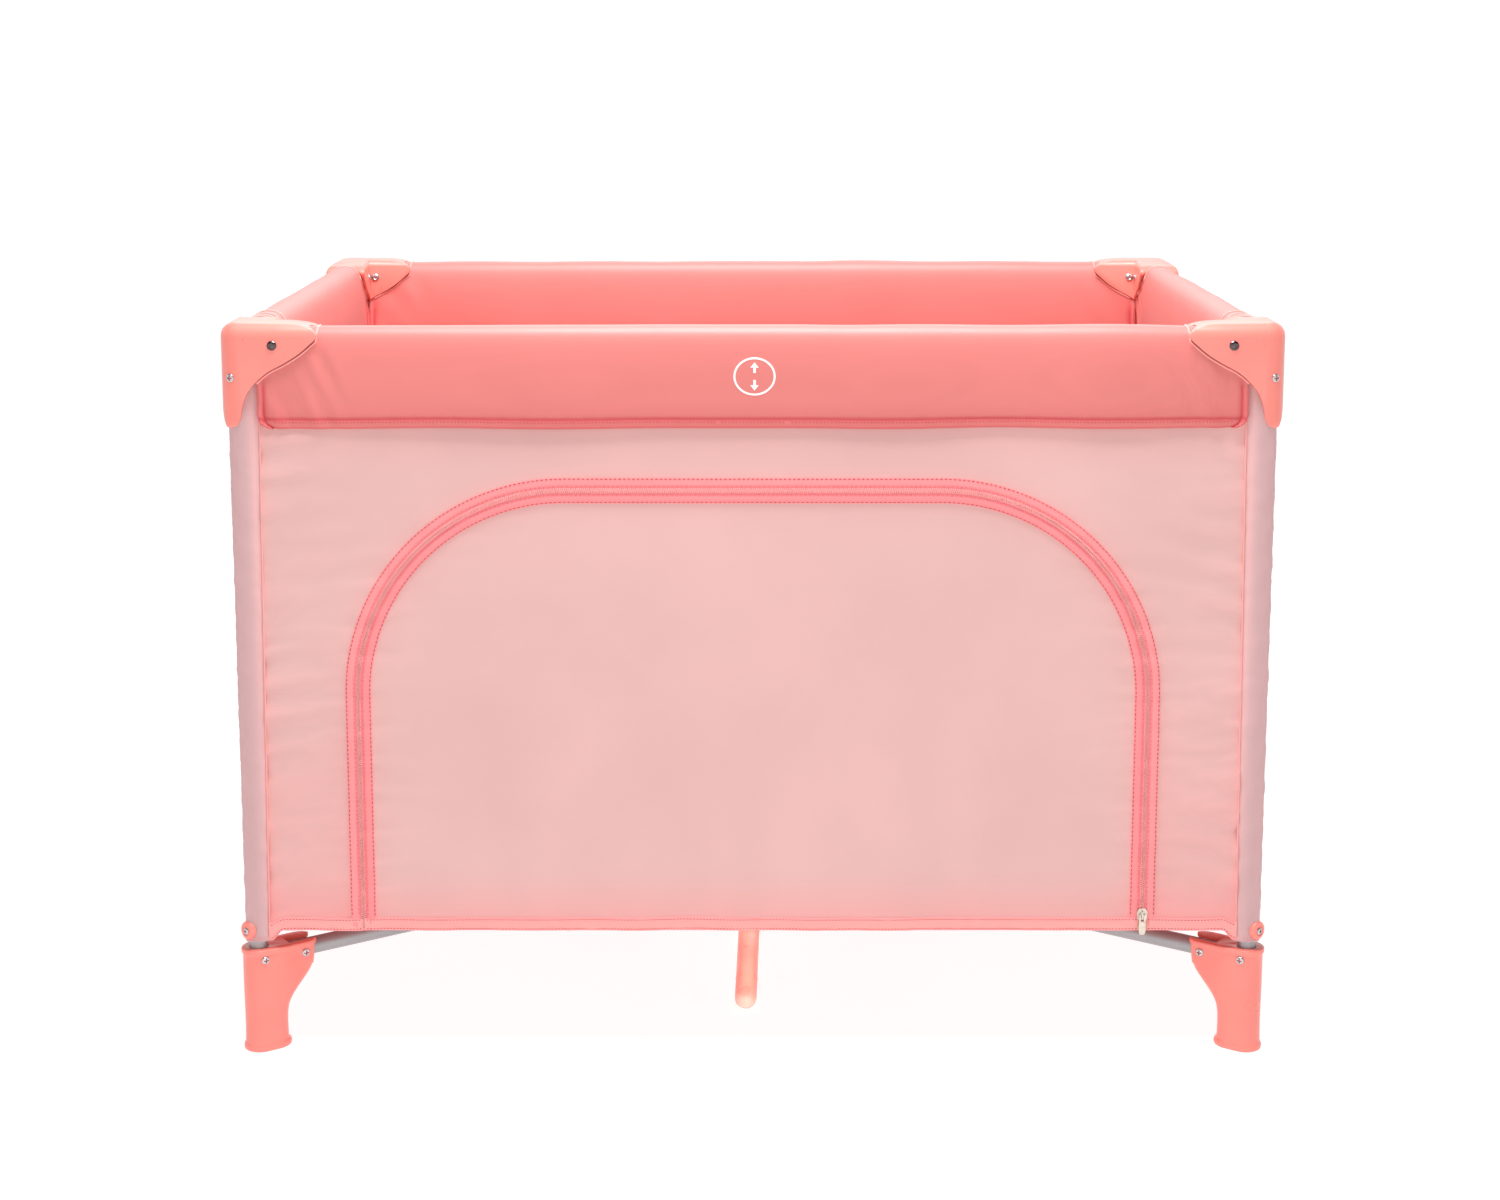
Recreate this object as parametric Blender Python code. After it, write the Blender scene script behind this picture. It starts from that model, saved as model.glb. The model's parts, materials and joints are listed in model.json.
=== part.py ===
"""Folding playpen: tube frame with corner brackets, folding top rails, umbrella base and fabric walls.

Metres, +Z up. The origin is on the floor under the middle. +X runs along the long side.
The zip door faces -Y.
"""
import math

import bmesh
import bpy
from mathutils import Matrix, Vector

# Overall size
LENGTH = 1.06
WIDTH = 0.74
HEIGHT = 0.76

# Legs and tubes
LEG_INSET = 0.018
LEG_RADIUS = 0.0095
TUBE_RADIUS = 0.009
TUBE_WALL = 0.0013
TUBE_SIDES = 12
TUBE_OVERRUN = 0.012
PIN_RADIUS = 0.003
PIN_HOLE_RADIUS = 0.0034
FIT_GAP = 0.0003
LEG_BOTTOM = 0.012
LEG_TOP = 0.745
LEG_X = LENGTH / 2 - LEG_INSET
LEG_Y = WIDTH / 2 - LEG_INSET
LEG_REACH = math.hypot(LEG_X, LEG_Y)

# Umbrella base: every arm turns on a foot pin and on a hub pin
BASE_HEIGHT = 0.098
FOOT_PIVOT = 0.045
HUB_PIVOT = 0.055
ARM_LENGTH = LEG_REACH - FOOT_PIVOT - HUB_PIVOT

# Top rails: the lock's pins stand so far apart that the rails fold in step with the base arms
RAIL_HEIGHT = 0.7385
RAIL_PIVOT = 0.036
RAIL_INSET = 0.024
RAIL_X = LENGTH / 2 - RAIL_INSET
RAIL_Y = WIDTH / 2 - RAIL_INSET
LOCK_PIN_X = LEG_X * (FOOT_PIVOT + HUB_PIVOT) / LEG_REACH - RAIL_PIVOT
LOCK_PIN_Y = LEG_Y * (FOOT_PIVOT + HUB_PIVOT) / LEG_REACH - RAIL_PIVOT

# Corner brackets
BRACKET_REACH = 0.098
BRACKET_DEPTH = 0.0475
BRACKET_BOTTOM = 0.6545
BRACKET_CORNER_RADIUS = 0.020
BRACKET_TOP_RADIUS = 0.008
CHANNEL_START = 0.036
CHANNEL_HALF = 0.0205
CHANNEL_TOP = 0.7565

# Feet
FOOT_HEIGHT = 0.110
FOOT_RADIUS = 0.0165
FOOT_LIP = 0.0015
FOOT_NOSE = 0.045
FOOT_HEEL = 0.018
FORK_HALF = 0.0102
SWING_ROOM = 0.0156
PIN_GRIP = 0.0015
CAP_HEIGHT = 0.130
CAP_RADIUS = 0.009
CAP_STAND = 0.005

# Hub
HUB_RADIUS = 0.066
HUB_BOTTOM = 0.080
HUB_TOP = 0.1165
HUB_COVER_TOP = 0.1235
STRAP_HALF_SPAN = 0.036
STRAP_HALF_WIDTH = 0.0125
STRAP_RISE = 0.022
STRAP_THICKNESS = 0.0022

# Centre legs
CENTRE_PIVOT_Y = 0.035
CENTRE_PIVOT_Z = 0.095
CENTRE_TIP_Y = 0.250
CENTRE_LEAN = 0.0075
CENTRE_FORK_HALF = 0.0105
CENTRE_SWING_ROOM = 0.0138
CENTRE_TUBE_RADIUS = 0.008
BOOT_RADIUS = 0.012
BOOT_LENGTH = 0.120

# Rail locks
LOCK_HALF_WIDTH = 0.0145
LOCK_END = 0.016
LOCK_DROP = 0.0188
LOCK_RISE = 0.0118
LOCK_CHAMFER = 0.004
LOCK_EDGE = 0.002
BUTTON_STAND = 0.004
BUTTON_HALF_WIDTH = 0.0085
BUTTON_HEIGHT = 0.009
BUTTON_POCKET = 0.012

# Fabric
COVER_HALF = 0.0185
COVER_WALL = 0.0025
COVER_RADIUS = 0.007
COVER_TOP = 0.7555
COVER_BOTTOM = 0.654
COVER_START = 0.046
PANEL_OUTSET = 0.005
PANEL_THICKNESS = 0.0025
PANEL_TOP = 0.672
PANEL_BOTTOM = 0.130
PANEL_END = 0.036
MAT_BOTTOM = 0.126
MAT_TOP = 0.156
MAT_MARGIN = 0.030
MAT_HUB_HOLE = 0.055

# Zip door
DOOR_HALF = 0.401
DOOR_TOP = 0.591
DOOR_RADIUS = 0.212
DOOR_GAP = 0.0008
SLIDER_HEIGHT = 0.148
SLIDER_HALF_WIDTH = 0.0055
SLIDER_HALF_HEIGHT = 0.006
SLIDER_DEPTH = 0.003
LUG_HALF = 0.0008
PULL_STAND = 0.0046
PULL_HALF_WIDTH = 0.0036
PULL_LENGTH = 0.0205
PULL_HALF_THICKNESS = 0.0007
PULL_BAR_RADIUS = 0.0007
LUG_HOLE_RADIUS = 0.0012
STOP_HALF_WIDTH = 0.004
STOP_DEPTH = 0.0022
STOP_HEIGHT = 0.0045

CORNERS = {
    "back_left": (-1, 1),
    "back_right": (1, 1),
    "front_left": (-1, -1),
    "front_right": (1, -1),
}

# Each side: its two corners, the unit direction from the first to the second, and where its plane lies
SIDES = {
    "back": ("back_left", "back_right", Vector((1, 0, 0))),
    "front": ("front_left", "front_right", Vector((1, 0, 0))),
    "left": ("back_left", "front_left", Vector((0, -1, 0))),
    "right": ("back_right", "front_right", Vector((0, -1, 0))),
}

UP = Vector((0, 0, 1))


# ---------------------------------------------------------------- materials

def material(name, color, roughness, metallic=0.0):
    made = bpy.data.materials.new(name)
    made.use_nodes = True
    shader = made.node_tree.nodes["Principled BSDF"]
    shader.inputs["Base Color"].default_value = (*color, 1.0)
    shader.inputs["Roughness"].default_value = roughness
    shader.inputs["Metallic"].default_value = metallic
    made.diffuse_color = (*color, 1.0)
    return made


FINISHES = {
    "coral_plastic": ((0.93, 0.29, 0.24), 0.32, 0.0),
    "grey_tube": ((0.37, 0.37, 0.38), 0.45, 0.2),
    "steel": ((0.62, 0.62, 0.62), 0.28, 1.0),
    "rail_fabric": ((0.87, 0.26, 0.23), 0.60, 0.0),
    "wall_fabric": ((0.82, 0.52, 0.49), 0.75, 0.0),
    "mat_fabric": ((0.84, 0.40, 0.37), 0.80, 0.0),
    "webbing": ((0.80, 0.25, 0.22), 0.85, 0.0),
    "hub_plastic": ((0.42, 0.42, 0.43), 0.50, 0.0),
}


# ---------------------------------------------------------------- shapes

def box(low, high):
    """A block between two corners."""
    solid = bmesh.new()
    size = [b - a for a, b in zip(low, high)]
    centre = [(a + b) / 2 for a, b in zip(low, high)]
    bmesh.ops.create_cube(solid, size=1.0)
    bmesh.ops.scale(solid, vec=size, verts=solid.verts)
    bmesh.ops.translate(solid, vec=centre, verts=solid.verts)
    return solid


def lathe(profile, sides, loop=False):
    """Turn (radius, height) points about +Z; a loop is a hollow ring, otherwise radius 0 closes both ends."""
    solid = bmesh.new()
    rings = []
    for radius, height in profile:
        if radius == 0:
            rings.append([solid.verts.new((0, 0, height))])
            continue
        angles = [2 * math.pi * i / sides for i in range(sides)]
        rings.append([solid.verts.new((radius * math.cos(a), radius * math.sin(a), height)) for a in angles])
    pairs = list(zip(rings, rings[1:]))
    if loop:
        pairs.append((rings[-1], rings[0]))
    for first, second in pairs:
        for i in range(sides):
            j = (i + 1) % sides
            corners = [first[i % len(first)], first[j % len(first)]]
            corners += [second[j % len(second)], second[i % len(second)]]
            solid.faces.new(list(dict.fromkeys(corners)))
    return solid


def rod(start, end, radius, sides=12):
    """A solid round bar from one point to another."""
    length = (Vector(end) - Vector(start)).length
    solid = lathe([(0, 0), (radius, 0), (radius, length), (0, length)], sides)
    return oriented(solid, start, Vector(end) - Vector(start))


def tube(start, end, radius, wall=TUBE_WALL, sides=TUBE_SIDES):
    """A round tube, open at both ends."""
    length = (Vector(end) - Vector(start)).length
    inner = radius - wall
    solid = lathe([(inner, 0), (radius, 0), (radius, length), (inner, length)], sides, loop=True)
    return oriented(solid, start, Vector(end) - Vector(start))


def prism(outline, axis, low, high):
    """Extrude a flat outline along axis 0, 1 or 2; the outline's two numbers are the other axes in order."""
    solid = bmesh.new()

    def place(point, level):
        values = list(point)
        values.insert(axis, level)
        return solid.verts.new(values)

    ends = [[place(point, level) for point in outline] for level in (low, high)]
    solid.faces.new(ends[0])
    solid.faces.new(ends[1])
    for i in range(len(outline)):
        j = (i + 1) % len(outline)
        solid.faces.new((ends[0][i], ends[0][j], ends[1][j], ends[1][i]))
    return solid


def loft(sections):
    """Skin a stack of equal point rings and cap its ends."""
    solid = bmesh.new()
    rings = [[solid.verts.new(point) for point in section] for section in sections]
    solid.faces.new(rings[0])
    solid.faces.new(rings[-1])
    for first, second in zip(rings, rings[1:]):
        for i in range(len(first)):
            j = (i + 1) % len(first)
            solid.faces.new((first[i], first[j], second[j], second[i]))
    return solid


def arc(centre, radius, start, end, steps):
    """Points on an arc between two angles in degrees."""
    points = []
    for i in range(steps + 1):
        angle = math.radians(start + (end - start) * i / steps)
        points.append((centre[0] + radius * math.cos(angle), centre[1] + radius * math.sin(angle)))
    return points


def oriented(solid, origin, direction):
    """Turn a shape's +Z to a direction and move its base to a point."""
    turn = Vector(direction).to_track_quat("Z", "Y").to_matrix().to_4x4()
    solid.transform(Matrix.Translation(Vector(origin)) @ turn)
    return solid


def mirrored(solid, sign_x, sign_y):
    """A copy of a shape made for the +X +Y corner, moved to another corner."""
    copy = solid.copy()
    copy.transform(Matrix.Diagonal((sign_x, sign_y, 1, 1)))
    return copy


def outward(solid):
    bmesh.ops.recalc_face_normals(solid, faces=solid.faces)
    return solid


def combine(base, tool, operation="DIFFERENCE"):
    """Cut, join or intersect two closed shapes."""
    scratch = []
    for shape in (base, tool):
        mesh = bpy.data.meshes.new("scratch")
        outward(shape).to_mesh(mesh)
        scratch.append(bpy.data.objects.new("scratch", mesh))
        bpy.context.scene.collection.objects.link(scratch[-1])
    modifier = scratch[0].modifiers.new("combine", "BOOLEAN")
    modifier.operation = operation
    modifier.object = scratch[1]
    result = bmesh.new()
    result.from_object(scratch[0], bpy.context.evaluated_depsgraph_get())
    for item in scratch:
        bpy.data.objects.remove(item)
    return result


def cut(base, *tools):
    for tool in tools:
        base = combine(base, tool)
    return base


def join(base, *tools):
    for tool in tools:
        base = combine(base, tool, "UNION")
    return base


def bevelled(solid, width, segments, chosen):
    """Round the edges that chosen() picks."""
    edges = [edge for edge in solid.edges if chosen(edge)]
    bmesh.ops.bevel(solid, geom=edges, offset=width, segments=segments, profile=0.5, affect="EDGES")
    return solid


def add(name, solid, finish, origin=(0, 0, 0), smooth=35):
    """Make the object, with its origin at the given point."""
    bmesh.ops.remove_doubles(solid, verts=solid.verts, dist=0.000001)
    outward(solid)
    solid.transform(Matrix.Translation(-Vector(origin)))
    mesh = bpy.data.meshes.new(name)
    solid.to_mesh(mesh)
    mesh.shade_smooth()
    mesh.set_sharp_from_angle(angle=math.radians(smooth))
    mesh.materials.append(material(name + "_" + finish, *FINISHES[finish]))
    made = bpy.data.objects.new(name, mesh)
    made.location = origin
    bpy.context.scene.collection.objects.link(made)
    return made


# ---------------------------------------------------------------- layout

def corner_point(corner, height=0.0):
    sign_x, sign_y = CORNERS[corner]
    return Vector((sign_x * LEG_X, sign_y * LEG_Y, height))


def diagonal(corner):
    """Unit vector from the middle towards a leg."""
    return corner_point(corner) / LEG_REACH


def drilled_tube(start, end, across):
    """A tube between two pins, running a little past both, with a hole for each pin."""
    along = (end - start).normalized()
    body = tube(start - along * TUBE_OVERRUN, end + along * TUBE_OVERRUN, TUBE_RADIUS)
    reach = across.normalized() * (TUBE_RADIUS + 0.002)
    holes = [rod(point - reach, point + reach, PIN_HOLE_RADIUS, 8) for point in (start, end)]
    return cut(body, *holes)


# ---------------------------------------------------------------- corner brackets and legs

def bracket_outline():
    """Side view of a bracket: distance in from the outer corner, height."""
    tip = [(BRACKET_REACH - 0.014, HEIGHT), (BRACKET_REACH - 0.004, HEIGHT - 0.004)]
    tip += [(BRACKET_REACH, HEIGHT - 0.012), (BRACKET_REACH - 0.002, HEIGHT - 0.018)]
    sweep = [(0.080, 0.7300), (0.065, 0.7205), (0.050, 0.7125), (0.040, 0.7045)]
    sweep += [(0.0302, 0.6940), (0.0245, 0.6830), (0.0215, 0.6720)]
    toe = [(0.0190, 0.6625), (0.0140, BRACKET_BOTTOM), (0.0075, BRACKET_BOTTOM)]
    toe += [(0.0030, 0.6625), (0.0008, 0.6750)]
    return [(-0.002, HEIGHT)] + tip + sweep + toe + [(-0.002, 0.690)]


def corner_bracket():
    """The moulded bracket of the +X +Y corner: a leg socket, two rail channels and their rivets."""
    outer_x = LENGTH / 2
    outer_y = WIDTH / 2
    block = box(
        (outer_x - BRACKET_REACH, outer_y - BRACKET_REACH, BRACKET_BOTTOM - 0.002),
        (outer_x, outer_y, HEIGHT),
    )

    def is_outer_upright(edge):
        return all(v.co.x > outer_x - 0.001 and v.co.y > outer_y - 0.001 for v in edge.verts)

    def is_top_rim(edge):
        level = all(v.co.z > HEIGHT - 0.0001 for v in edge.verts)
        inner = outer_x - BRACKET_REACH + 0.001, outer_y - BRACKET_REACH + 0.001
        on_inner = all(v.co.x < inner[0] for v in edge.verts) or all(v.co.y < inner[1] for v in edge.verts)
        return level and not on_inner

    bevelled(block, BRACKET_CORNER_RADIUS, 5, is_outer_upright)
    bevelled(block, BRACKET_TOP_RADIUS, 3, is_top_rim)
    outline = bracket_outline()
    along_x = prism([(outer_x - a, z) for a, z in outline], 1, outer_y - BRACKET_REACH - 0.01, outer_y + 0.01)
    along_y = prism([(outer_y - a, z) for a, z in outline], 0, outer_x - BRACKET_REACH - 0.01, outer_x + 0.01)
    body = combine(block, along_x, "INTERSECT")
    body = combine(body, along_y, "INTERSECT")
    inside = box(
        (outer_x - 2 * BRACKET_REACH, outer_y - 2 * BRACKET_REACH, 0.6),
        (outer_x - BRACKET_DEPTH, outer_y - BRACKET_DEPTH, 0.8),
    )
    channel_x = box(
        (outer_x - 2 * BRACKET_REACH, RAIL_Y - CHANNEL_HALF, 0.6),
        (outer_x - CHANNEL_START, RAIL_Y + CHANNEL_HALF, CHANNEL_TOP),
    )
    channel_y = box(
        (RAIL_X - CHANNEL_HALF, outer_y - 2 * BRACKET_REACH, 0.6),
        (RAIL_X + CHANNEL_HALF, outer_y - CHANNEL_START, CHANNEL_TOP),
    )
    socket = rod((LEG_X, LEG_Y, 0.6), (LEG_X, LEG_Y, LEG_TOP + FIT_GAP), LEG_RADIUS + FIT_GAP, 20)
    body = cut(body, inside, channel_x, channel_y, socket)
    reach = CHANNEL_HALF + PIN_GRIP
    pin_x = LEG_X - RAIL_PIVOT
    pin_y = LEG_Y - RAIL_PIVOT
    rivet_x = rod((pin_x, RAIL_Y - reach, RAIL_HEIGHT), (pin_x, RAIL_Y + reach, RAIL_HEIGHT), PIN_RADIUS, 8)
    rivet_y = rod((RAIL_X - reach, pin_y, RAIL_HEIGHT), (RAIL_X + reach, pin_y, RAIL_HEIGHT), PIN_RADIUS, 8)
    return join(body, rivet_x, rivet_y)


def foot_section(height, radius, nose):
    """A rounded slot outline in the foot's own frame: +X points in towards the hub."""
    points = arc((0, 0), radius, 90, 270, 6) + arc((nose, 0), radius, -90, 90, 6)
    return [(x, y, height) for x, y in points]


def corner_foot():
    """The foot of the +X +Y corner: a leg socket and a fork with the base arm's pin."""
    lip = FOOT_RADIUS + FOOT_LIP
    sections = [
        foot_section(0.0, lip - 0.001, FOOT_HEEL),
        foot_section(0.0015, lip, FOOT_HEEL),
        foot_section(0.005, lip, FOOT_HEEL),
        foot_section(0.008, FOOT_RADIUS, FOOT_HEEL),
        foot_section(0.052, FOOT_RADIUS - 0.0005, FOOT_HEEL),
        foot_section(0.068, FOOT_RADIUS, 0.0215),
        foot_section(0.080, FOOT_RADIUS, 0.029),
        foot_section(0.0895, FOOT_RADIUS, 0.038),
        foot_section(0.0905, FOOT_RADIUS, 0.0405),
        foot_section(0.098, FOOT_RADIUS, 0.0445),
        foot_section(0.104, FOOT_RADIUS, FOOT_NOSE),
        foot_section(0.105, lip, FOOT_NOSE),
        foot_section(FOOT_HEIGHT, lip, FOOT_NOSE),
    ]
    body = loft(sections)
    socket = rod((0, 0, LEG_BOTTOM - FIT_GAP), (0, 0, 0.2), LEG_RADIUS + FIT_GAP, 20)
    fork = box((FOOT_PIVOT - SWING_ROOM, -FORK_HALF, BASE_HEIGHT - SWING_ROOM), (0.09, FORK_HALF, 0.2))
    reach = FOOT_RADIUS - 0.001
    pin = rod((FOOT_PIVOT, -reach, BASE_HEIGHT), (FOOT_PIVOT, reach, BASE_HEIGHT), PIN_RADIUS, 10)
    body = join(cut(body, socket, fork), pin)
    inward = -diagonal("back_right")
    turn = Matrix.Rotation(math.atan2(inward.y, inward.x), 4, "Z")
    body.transform(Matrix.Translation(corner_point("back_right")) @ turn)
    return body


def build_corners():
    bracket = corner_bracket()
    foot = corner_foot()
    for corner, signs in CORNERS.items():
        base = corner_point(corner)
        leg = tube(base + UP * LEG_BOTTOM, base + UP * LEG_TOP, LEG_RADIUS, sides=16)
        add("leg_tube_" + corner, leg, "grey_tube", base)
        add("top_bracket_" + corner, mirrored(bracket, *signs), "coral_plastic", base + UP * RAIL_HEIGHT)
        add("foot_" + corner, mirrored(foot, *signs), "coral_plastic", base)
        out = diagonal(corner)
        seat = base + out * (LEG_RADIUS + FIT_GAP) + UP * CAP_HEIGHT
        rounding = [(CAP_RADIUS - 0.0005, 0), (CAP_RADIUS, 0.002), (CAP_RADIUS - 0.0015, CAP_STAND - 0.0005)]
        cap = lathe([(0, 0)] + rounding + [(0, CAP_STAND)], 16)
        add("leg_cap_" + corner, oriented(cap, seat, out), "coral_plastic", seat)


# ---------------------------------------------------------------- umbrella base

def build_base_arms():
    out = diagonal("back_right")
    foot_pin = out * (LEG_REACH - FOOT_PIVOT) + UP * BASE_HEIGHT
    hub_pin = out * HUB_PIVOT + UP * BASE_HEIGHT
    arm = drilled_tube(hub_pin, foot_pin, UP.cross(out))
    for corner, signs in CORNERS.items():
        pin = diagonal(corner) * (LEG_REACH - FOOT_PIVOT) + UP * BASE_HEIGHT
        add("base_arm_" + corner, mirrored(arm, *signs), "grey_tube", pin)


def build_hub():
    """The hub's housing with its six slots and pins, its cover and the pull strap."""
    housing = lathe(
        [(0, HUB_BOTTOM), (HUB_RADIUS - 0.003, HUB_BOTTOM), (HUB_RADIUS, HUB_BOTTOM + 0.003),
         (HUB_RADIUS, HUB_TOP), (0, HUB_TOP)], 40)
    pins = []
    for corner in CORNERS:
        out = diagonal(corner)
        slot = box(
            (HUB_PIVOT - SWING_ROOM, -FORK_HALF, HUB_BOTTOM - 0.01),
            (HUB_RADIUS + 0.01, FORK_HALF, BASE_HEIGHT + SWING_ROOM),
        )
        slot.transform(Matrix.Rotation(math.atan2(out.y, out.x), 4, "Z"))
        housing = cut(housing, slot)
        across = UP.cross(out) * (FORK_HALF + PIN_GRIP)
        place = out * HUB_PIVOT + UP * BASE_HEIGHT
        pins.append(rod(place - across, place + across, PIN_RADIUS, 8))
    for side in (-1, 1):
        half = CENTRE_FORK_HALF
        near = CENTRE_PIVOT_Y - CENTRE_SWING_ROOM
        levels = sorted((side * near, side * (HUB_RADIUS + 0.01)))
        slot = box((-half, levels[0], HUB_BOTTOM - 0.01), (half, levels[1], CENTRE_PIVOT_Z + CENTRE_SWING_ROOM))
        housing = cut(housing, slot)
        place = Vector((0, side * CENTRE_PIVOT_Y, CENTRE_PIVOT_Z))
        across = Vector((half + PIN_GRIP, 0, 0))
        pins.append(rod(place - across, place + across, PIN_RADIUS, 8))
    middle = Vector((0, 0, BASE_HEIGHT))
    add("hub_housing", join(housing, *pins), "hub_plastic", middle)

    low = HUB_TOP + FIT_GAP
    cover = lathe(
        [(0, low), (HUB_RADIUS, low), (HUB_RADIUS, low + 0.002), (0.060, HUB_COVER_TOP - 0.001),
         (0.045, HUB_COVER_TOP), (0, HUB_COVER_TOP)], 40)
    add("hub_cover", cover, "coral_plastic", middle)

    base = HUB_COVER_TOP + FIT_GAP
    crown = []
    under = []
    for i in range(13):
        x = STRAP_HALF_SPAN * (1 - i / 6)
        lift = STRAP_RISE * (1 - (x / STRAP_HALF_SPAN) ** 2)
        crown.append((x, base + STRAP_THICKNESS + lift))
        under.append((x, base + lift))
    strap = prism(crown + under[::-1], 1, -STRAP_HALF_WIDTH, STRAP_HALF_WIDTH)
    add("pull_strap", strap, "webbing", middle)


def build_centre_legs():
    for name, side in (("front", -1), ("back", 1)):
        pivot = Vector((0, side * CENTRE_PIVOT_Y, CENTRE_PIVOT_Z))
        tip = Vector((side * CENTRE_LEAN, side * CENTRE_TIP_Y, BOOT_RADIUS + 0.0008))
        along = (tip - pivot).normalized()
        length = (tip - pivot).length
        body = tube(pivot - along * 0.010, tip - along * 0.006, CENTRE_TUBE_RADIUS)
        across = Vector((1, 0, 0)) * (CENTRE_TUBE_RADIUS + 0.003)
        hole = rod(pivot - across, pivot + across, PIN_HOLE_RADIUS, 8)
        add("centre_leg_tube_" + name, cut(body, hole), "grey_tube", pivot)
        bore = CENTRE_TUBE_RADIUS + FIT_GAP
        rim = length - BOOT_LENGTH
        ball = [(BOOT_RADIUS * math.cos(math.radians(a)), length + BOOT_RADIUS * math.sin(math.radians(a)))
                for a in (0, 30, 60)]
        profile = [(0, length - 0.005), (bore, length - 0.005), (bore, rim), (BOOT_RADIUS + 0.0006, rim),
                   (BOOT_RADIUS + 0.0006, rim + 0.004), (BOOT_RADIUS, rim + 0.005)]
        boot = lathe(profile + ball + [(0, length + BOOT_RADIUS)], 16)
        add("centre_leg_boot_" + name, oriented(boot, pivot, along), "coral_plastic", pivot)


# ---------------------------------------------------------------- top rails

def side_frame(side):
    """Matrix that turns (along the side, across it, up) to world, with the side's middle at zero."""
    first, second, along = SIDES[side]
    out = (corner_point(first) + corner_point(second)).normalized()
    middle = Vector((out.x * RAIL_X, out.y * RAIL_Y, 0))
    across = UP.cross(along)
    return Matrix.Translation(middle) @ Matrix((along, across, UP)).transposed().to_4x4()


def lock_body(pin, button_half):
    """A lock housing with an open slot, a pin at each end and a pocket for its button."""
    low = RAIL_HEIGHT - LOCK_DROP
    high = RAIL_HEIGHT + LOCK_RISE
    half = LOCK_HALF_WIDTH
    below = [(half - LOCK_CHAMFER, low), (half, low + LOCK_CHAMFER)]
    above = [(half, high - LOCK_EDGE), (half - LOCK_EDGE, high)]
    right = below + above
    left = [(-n, z) for n, z in right[::-1]]
    body = prism(right + left, 0, -pin - LOCK_END, pin + LOCK_END)
    for sign in (-1, 1):
        reach = sorted((sign * (pin - SWING_ROOM), sign * (pin + 0.05)))
        body = cut(body, box((reach[0], -FORK_HALF, RAIL_HEIGHT - SWING_ROOM), (reach[1], FORK_HALF, 0.8)))
        across = half - 0.001
        pin_bar = rod((sign * pin, -across, RAIL_HEIGHT), (sign * pin, across, RAIL_HEIGHT), PIN_RADIUS, 8)
        body = join(body, pin_bar)
    pocket = box(
        (-button_half[0] - FIT_GAP, -button_half[1] - FIT_GAP, low - 0.01),
        (button_half[0] + FIT_GAP, button_half[1] + FIT_GAP, low + BUTTON_POCKET),
    )
    return cut(body, pocket)


def lock_button(button_half):
    low = RAIL_HEIGHT - LOCK_DROP - BUTTON_STAND
    button = box((-button_half[0], -button_half[1], low), (button_half[0], button_half[1], low + BUTTON_HEIGHT))

    def is_lower_rim(edge):
        return all(v.co.z < low + 0.0001 for v in edge.verts)

    return bevelled(button, 0.0015, 2, is_lower_rim)


def cover_body(half_length):
    """A rail cover: a rounded channel with a skirt on both sides, its ends cut back at the rivets."""
    inner = COVER_HALF - COVER_WALL
    side = COVER_HALF - COVER_RADIUS
    level = COVER_TOP - COVER_RADIUS
    fillet = COVER_RADIUS - COVER_WALL
    outer = arc((side, level), COVER_RADIUS, 0, 90, 3) + arc((-side, level), COVER_RADIUS, 90, 180, 3)
    hollow = arc((-side, level), fillet, 180, 90, 3) + arc((side, level), fillet, 90, 0, 3)
    section = [(COVER_HALF, COVER_BOTTOM)] + outer + [(-COVER_HALF, COVER_BOTTOM)]
    section += [(-inner, COVER_BOTTOM)] + hollow + [(inner, COVER_BOTTOM)]
    body = prism(section, 0, -half_length, half_length)
    for sign in (-1, 1):
        notch = [(half_length + 0.01, 0.695), (half_length - 0.001, 0.698), (half_length - 0.019, 0.735)]
        notch += [(half_length - 0.025, 0.77), (half_length + 0.01, 0.77)]
        body = cut(body, prism([(sign * x, z) for x, z in notch], 1, -0.05, 0.05))
    return body


def build_sides():
    for side, (first, second, along) in SIDES.items():
        place = side_frame(side)
        is_long = abs(along.x) > 0.5
        half = (LENGTH if is_long else WIDTH) / 2
        reach = half - LEG_INSET - RAIL_PIVOT
        pin = LOCK_PIN_X if is_long else LOCK_PIN_Y
        button_half = (0.012 if is_long else 0.004, BUTTON_HALF_WIDTH)
        across = UP.cross(along)
        middle = place @ Vector((0, 0, RAIL_HEIGHT))
        for corner, sign in ((first, -1), (second, 1)):
            start = middle + along * (sign * reach)
            rail = drilled_tube(start, middle + along * (sign * pin), across)
            add("rail_" + side + "_" + corner, rail, "grey_tube", start)
        lock = lock_body(pin, button_half)
        lock.transform(place)
        add("rail_lock_" + side, lock, "hub_plastic", middle)
        button = lock_button(button_half)
        button.transform(place)
        add("lock_button_" + side, button, "coral_plastic", middle)
        cover = cover_body(half - COVER_START)
        cover.transform(place)
        add("rail_cover_" + side, cover, "rail_fabric", middle)


# ---------------------------------------------------------------- walls, door and mat

def door_outline(half, top, radius):
    """The arch of the zip door, from its lower right corner to its lower left one."""
    right = arc((half - radius, top - radius), radius, 0, 90, 8)
    left = arc((-half + radius, top - radius), radius, 90, 180, 8)
    return [(half, PANEL_BOTTOM)] + right + left + [(-half, PANEL_BOTTOM)]


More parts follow.
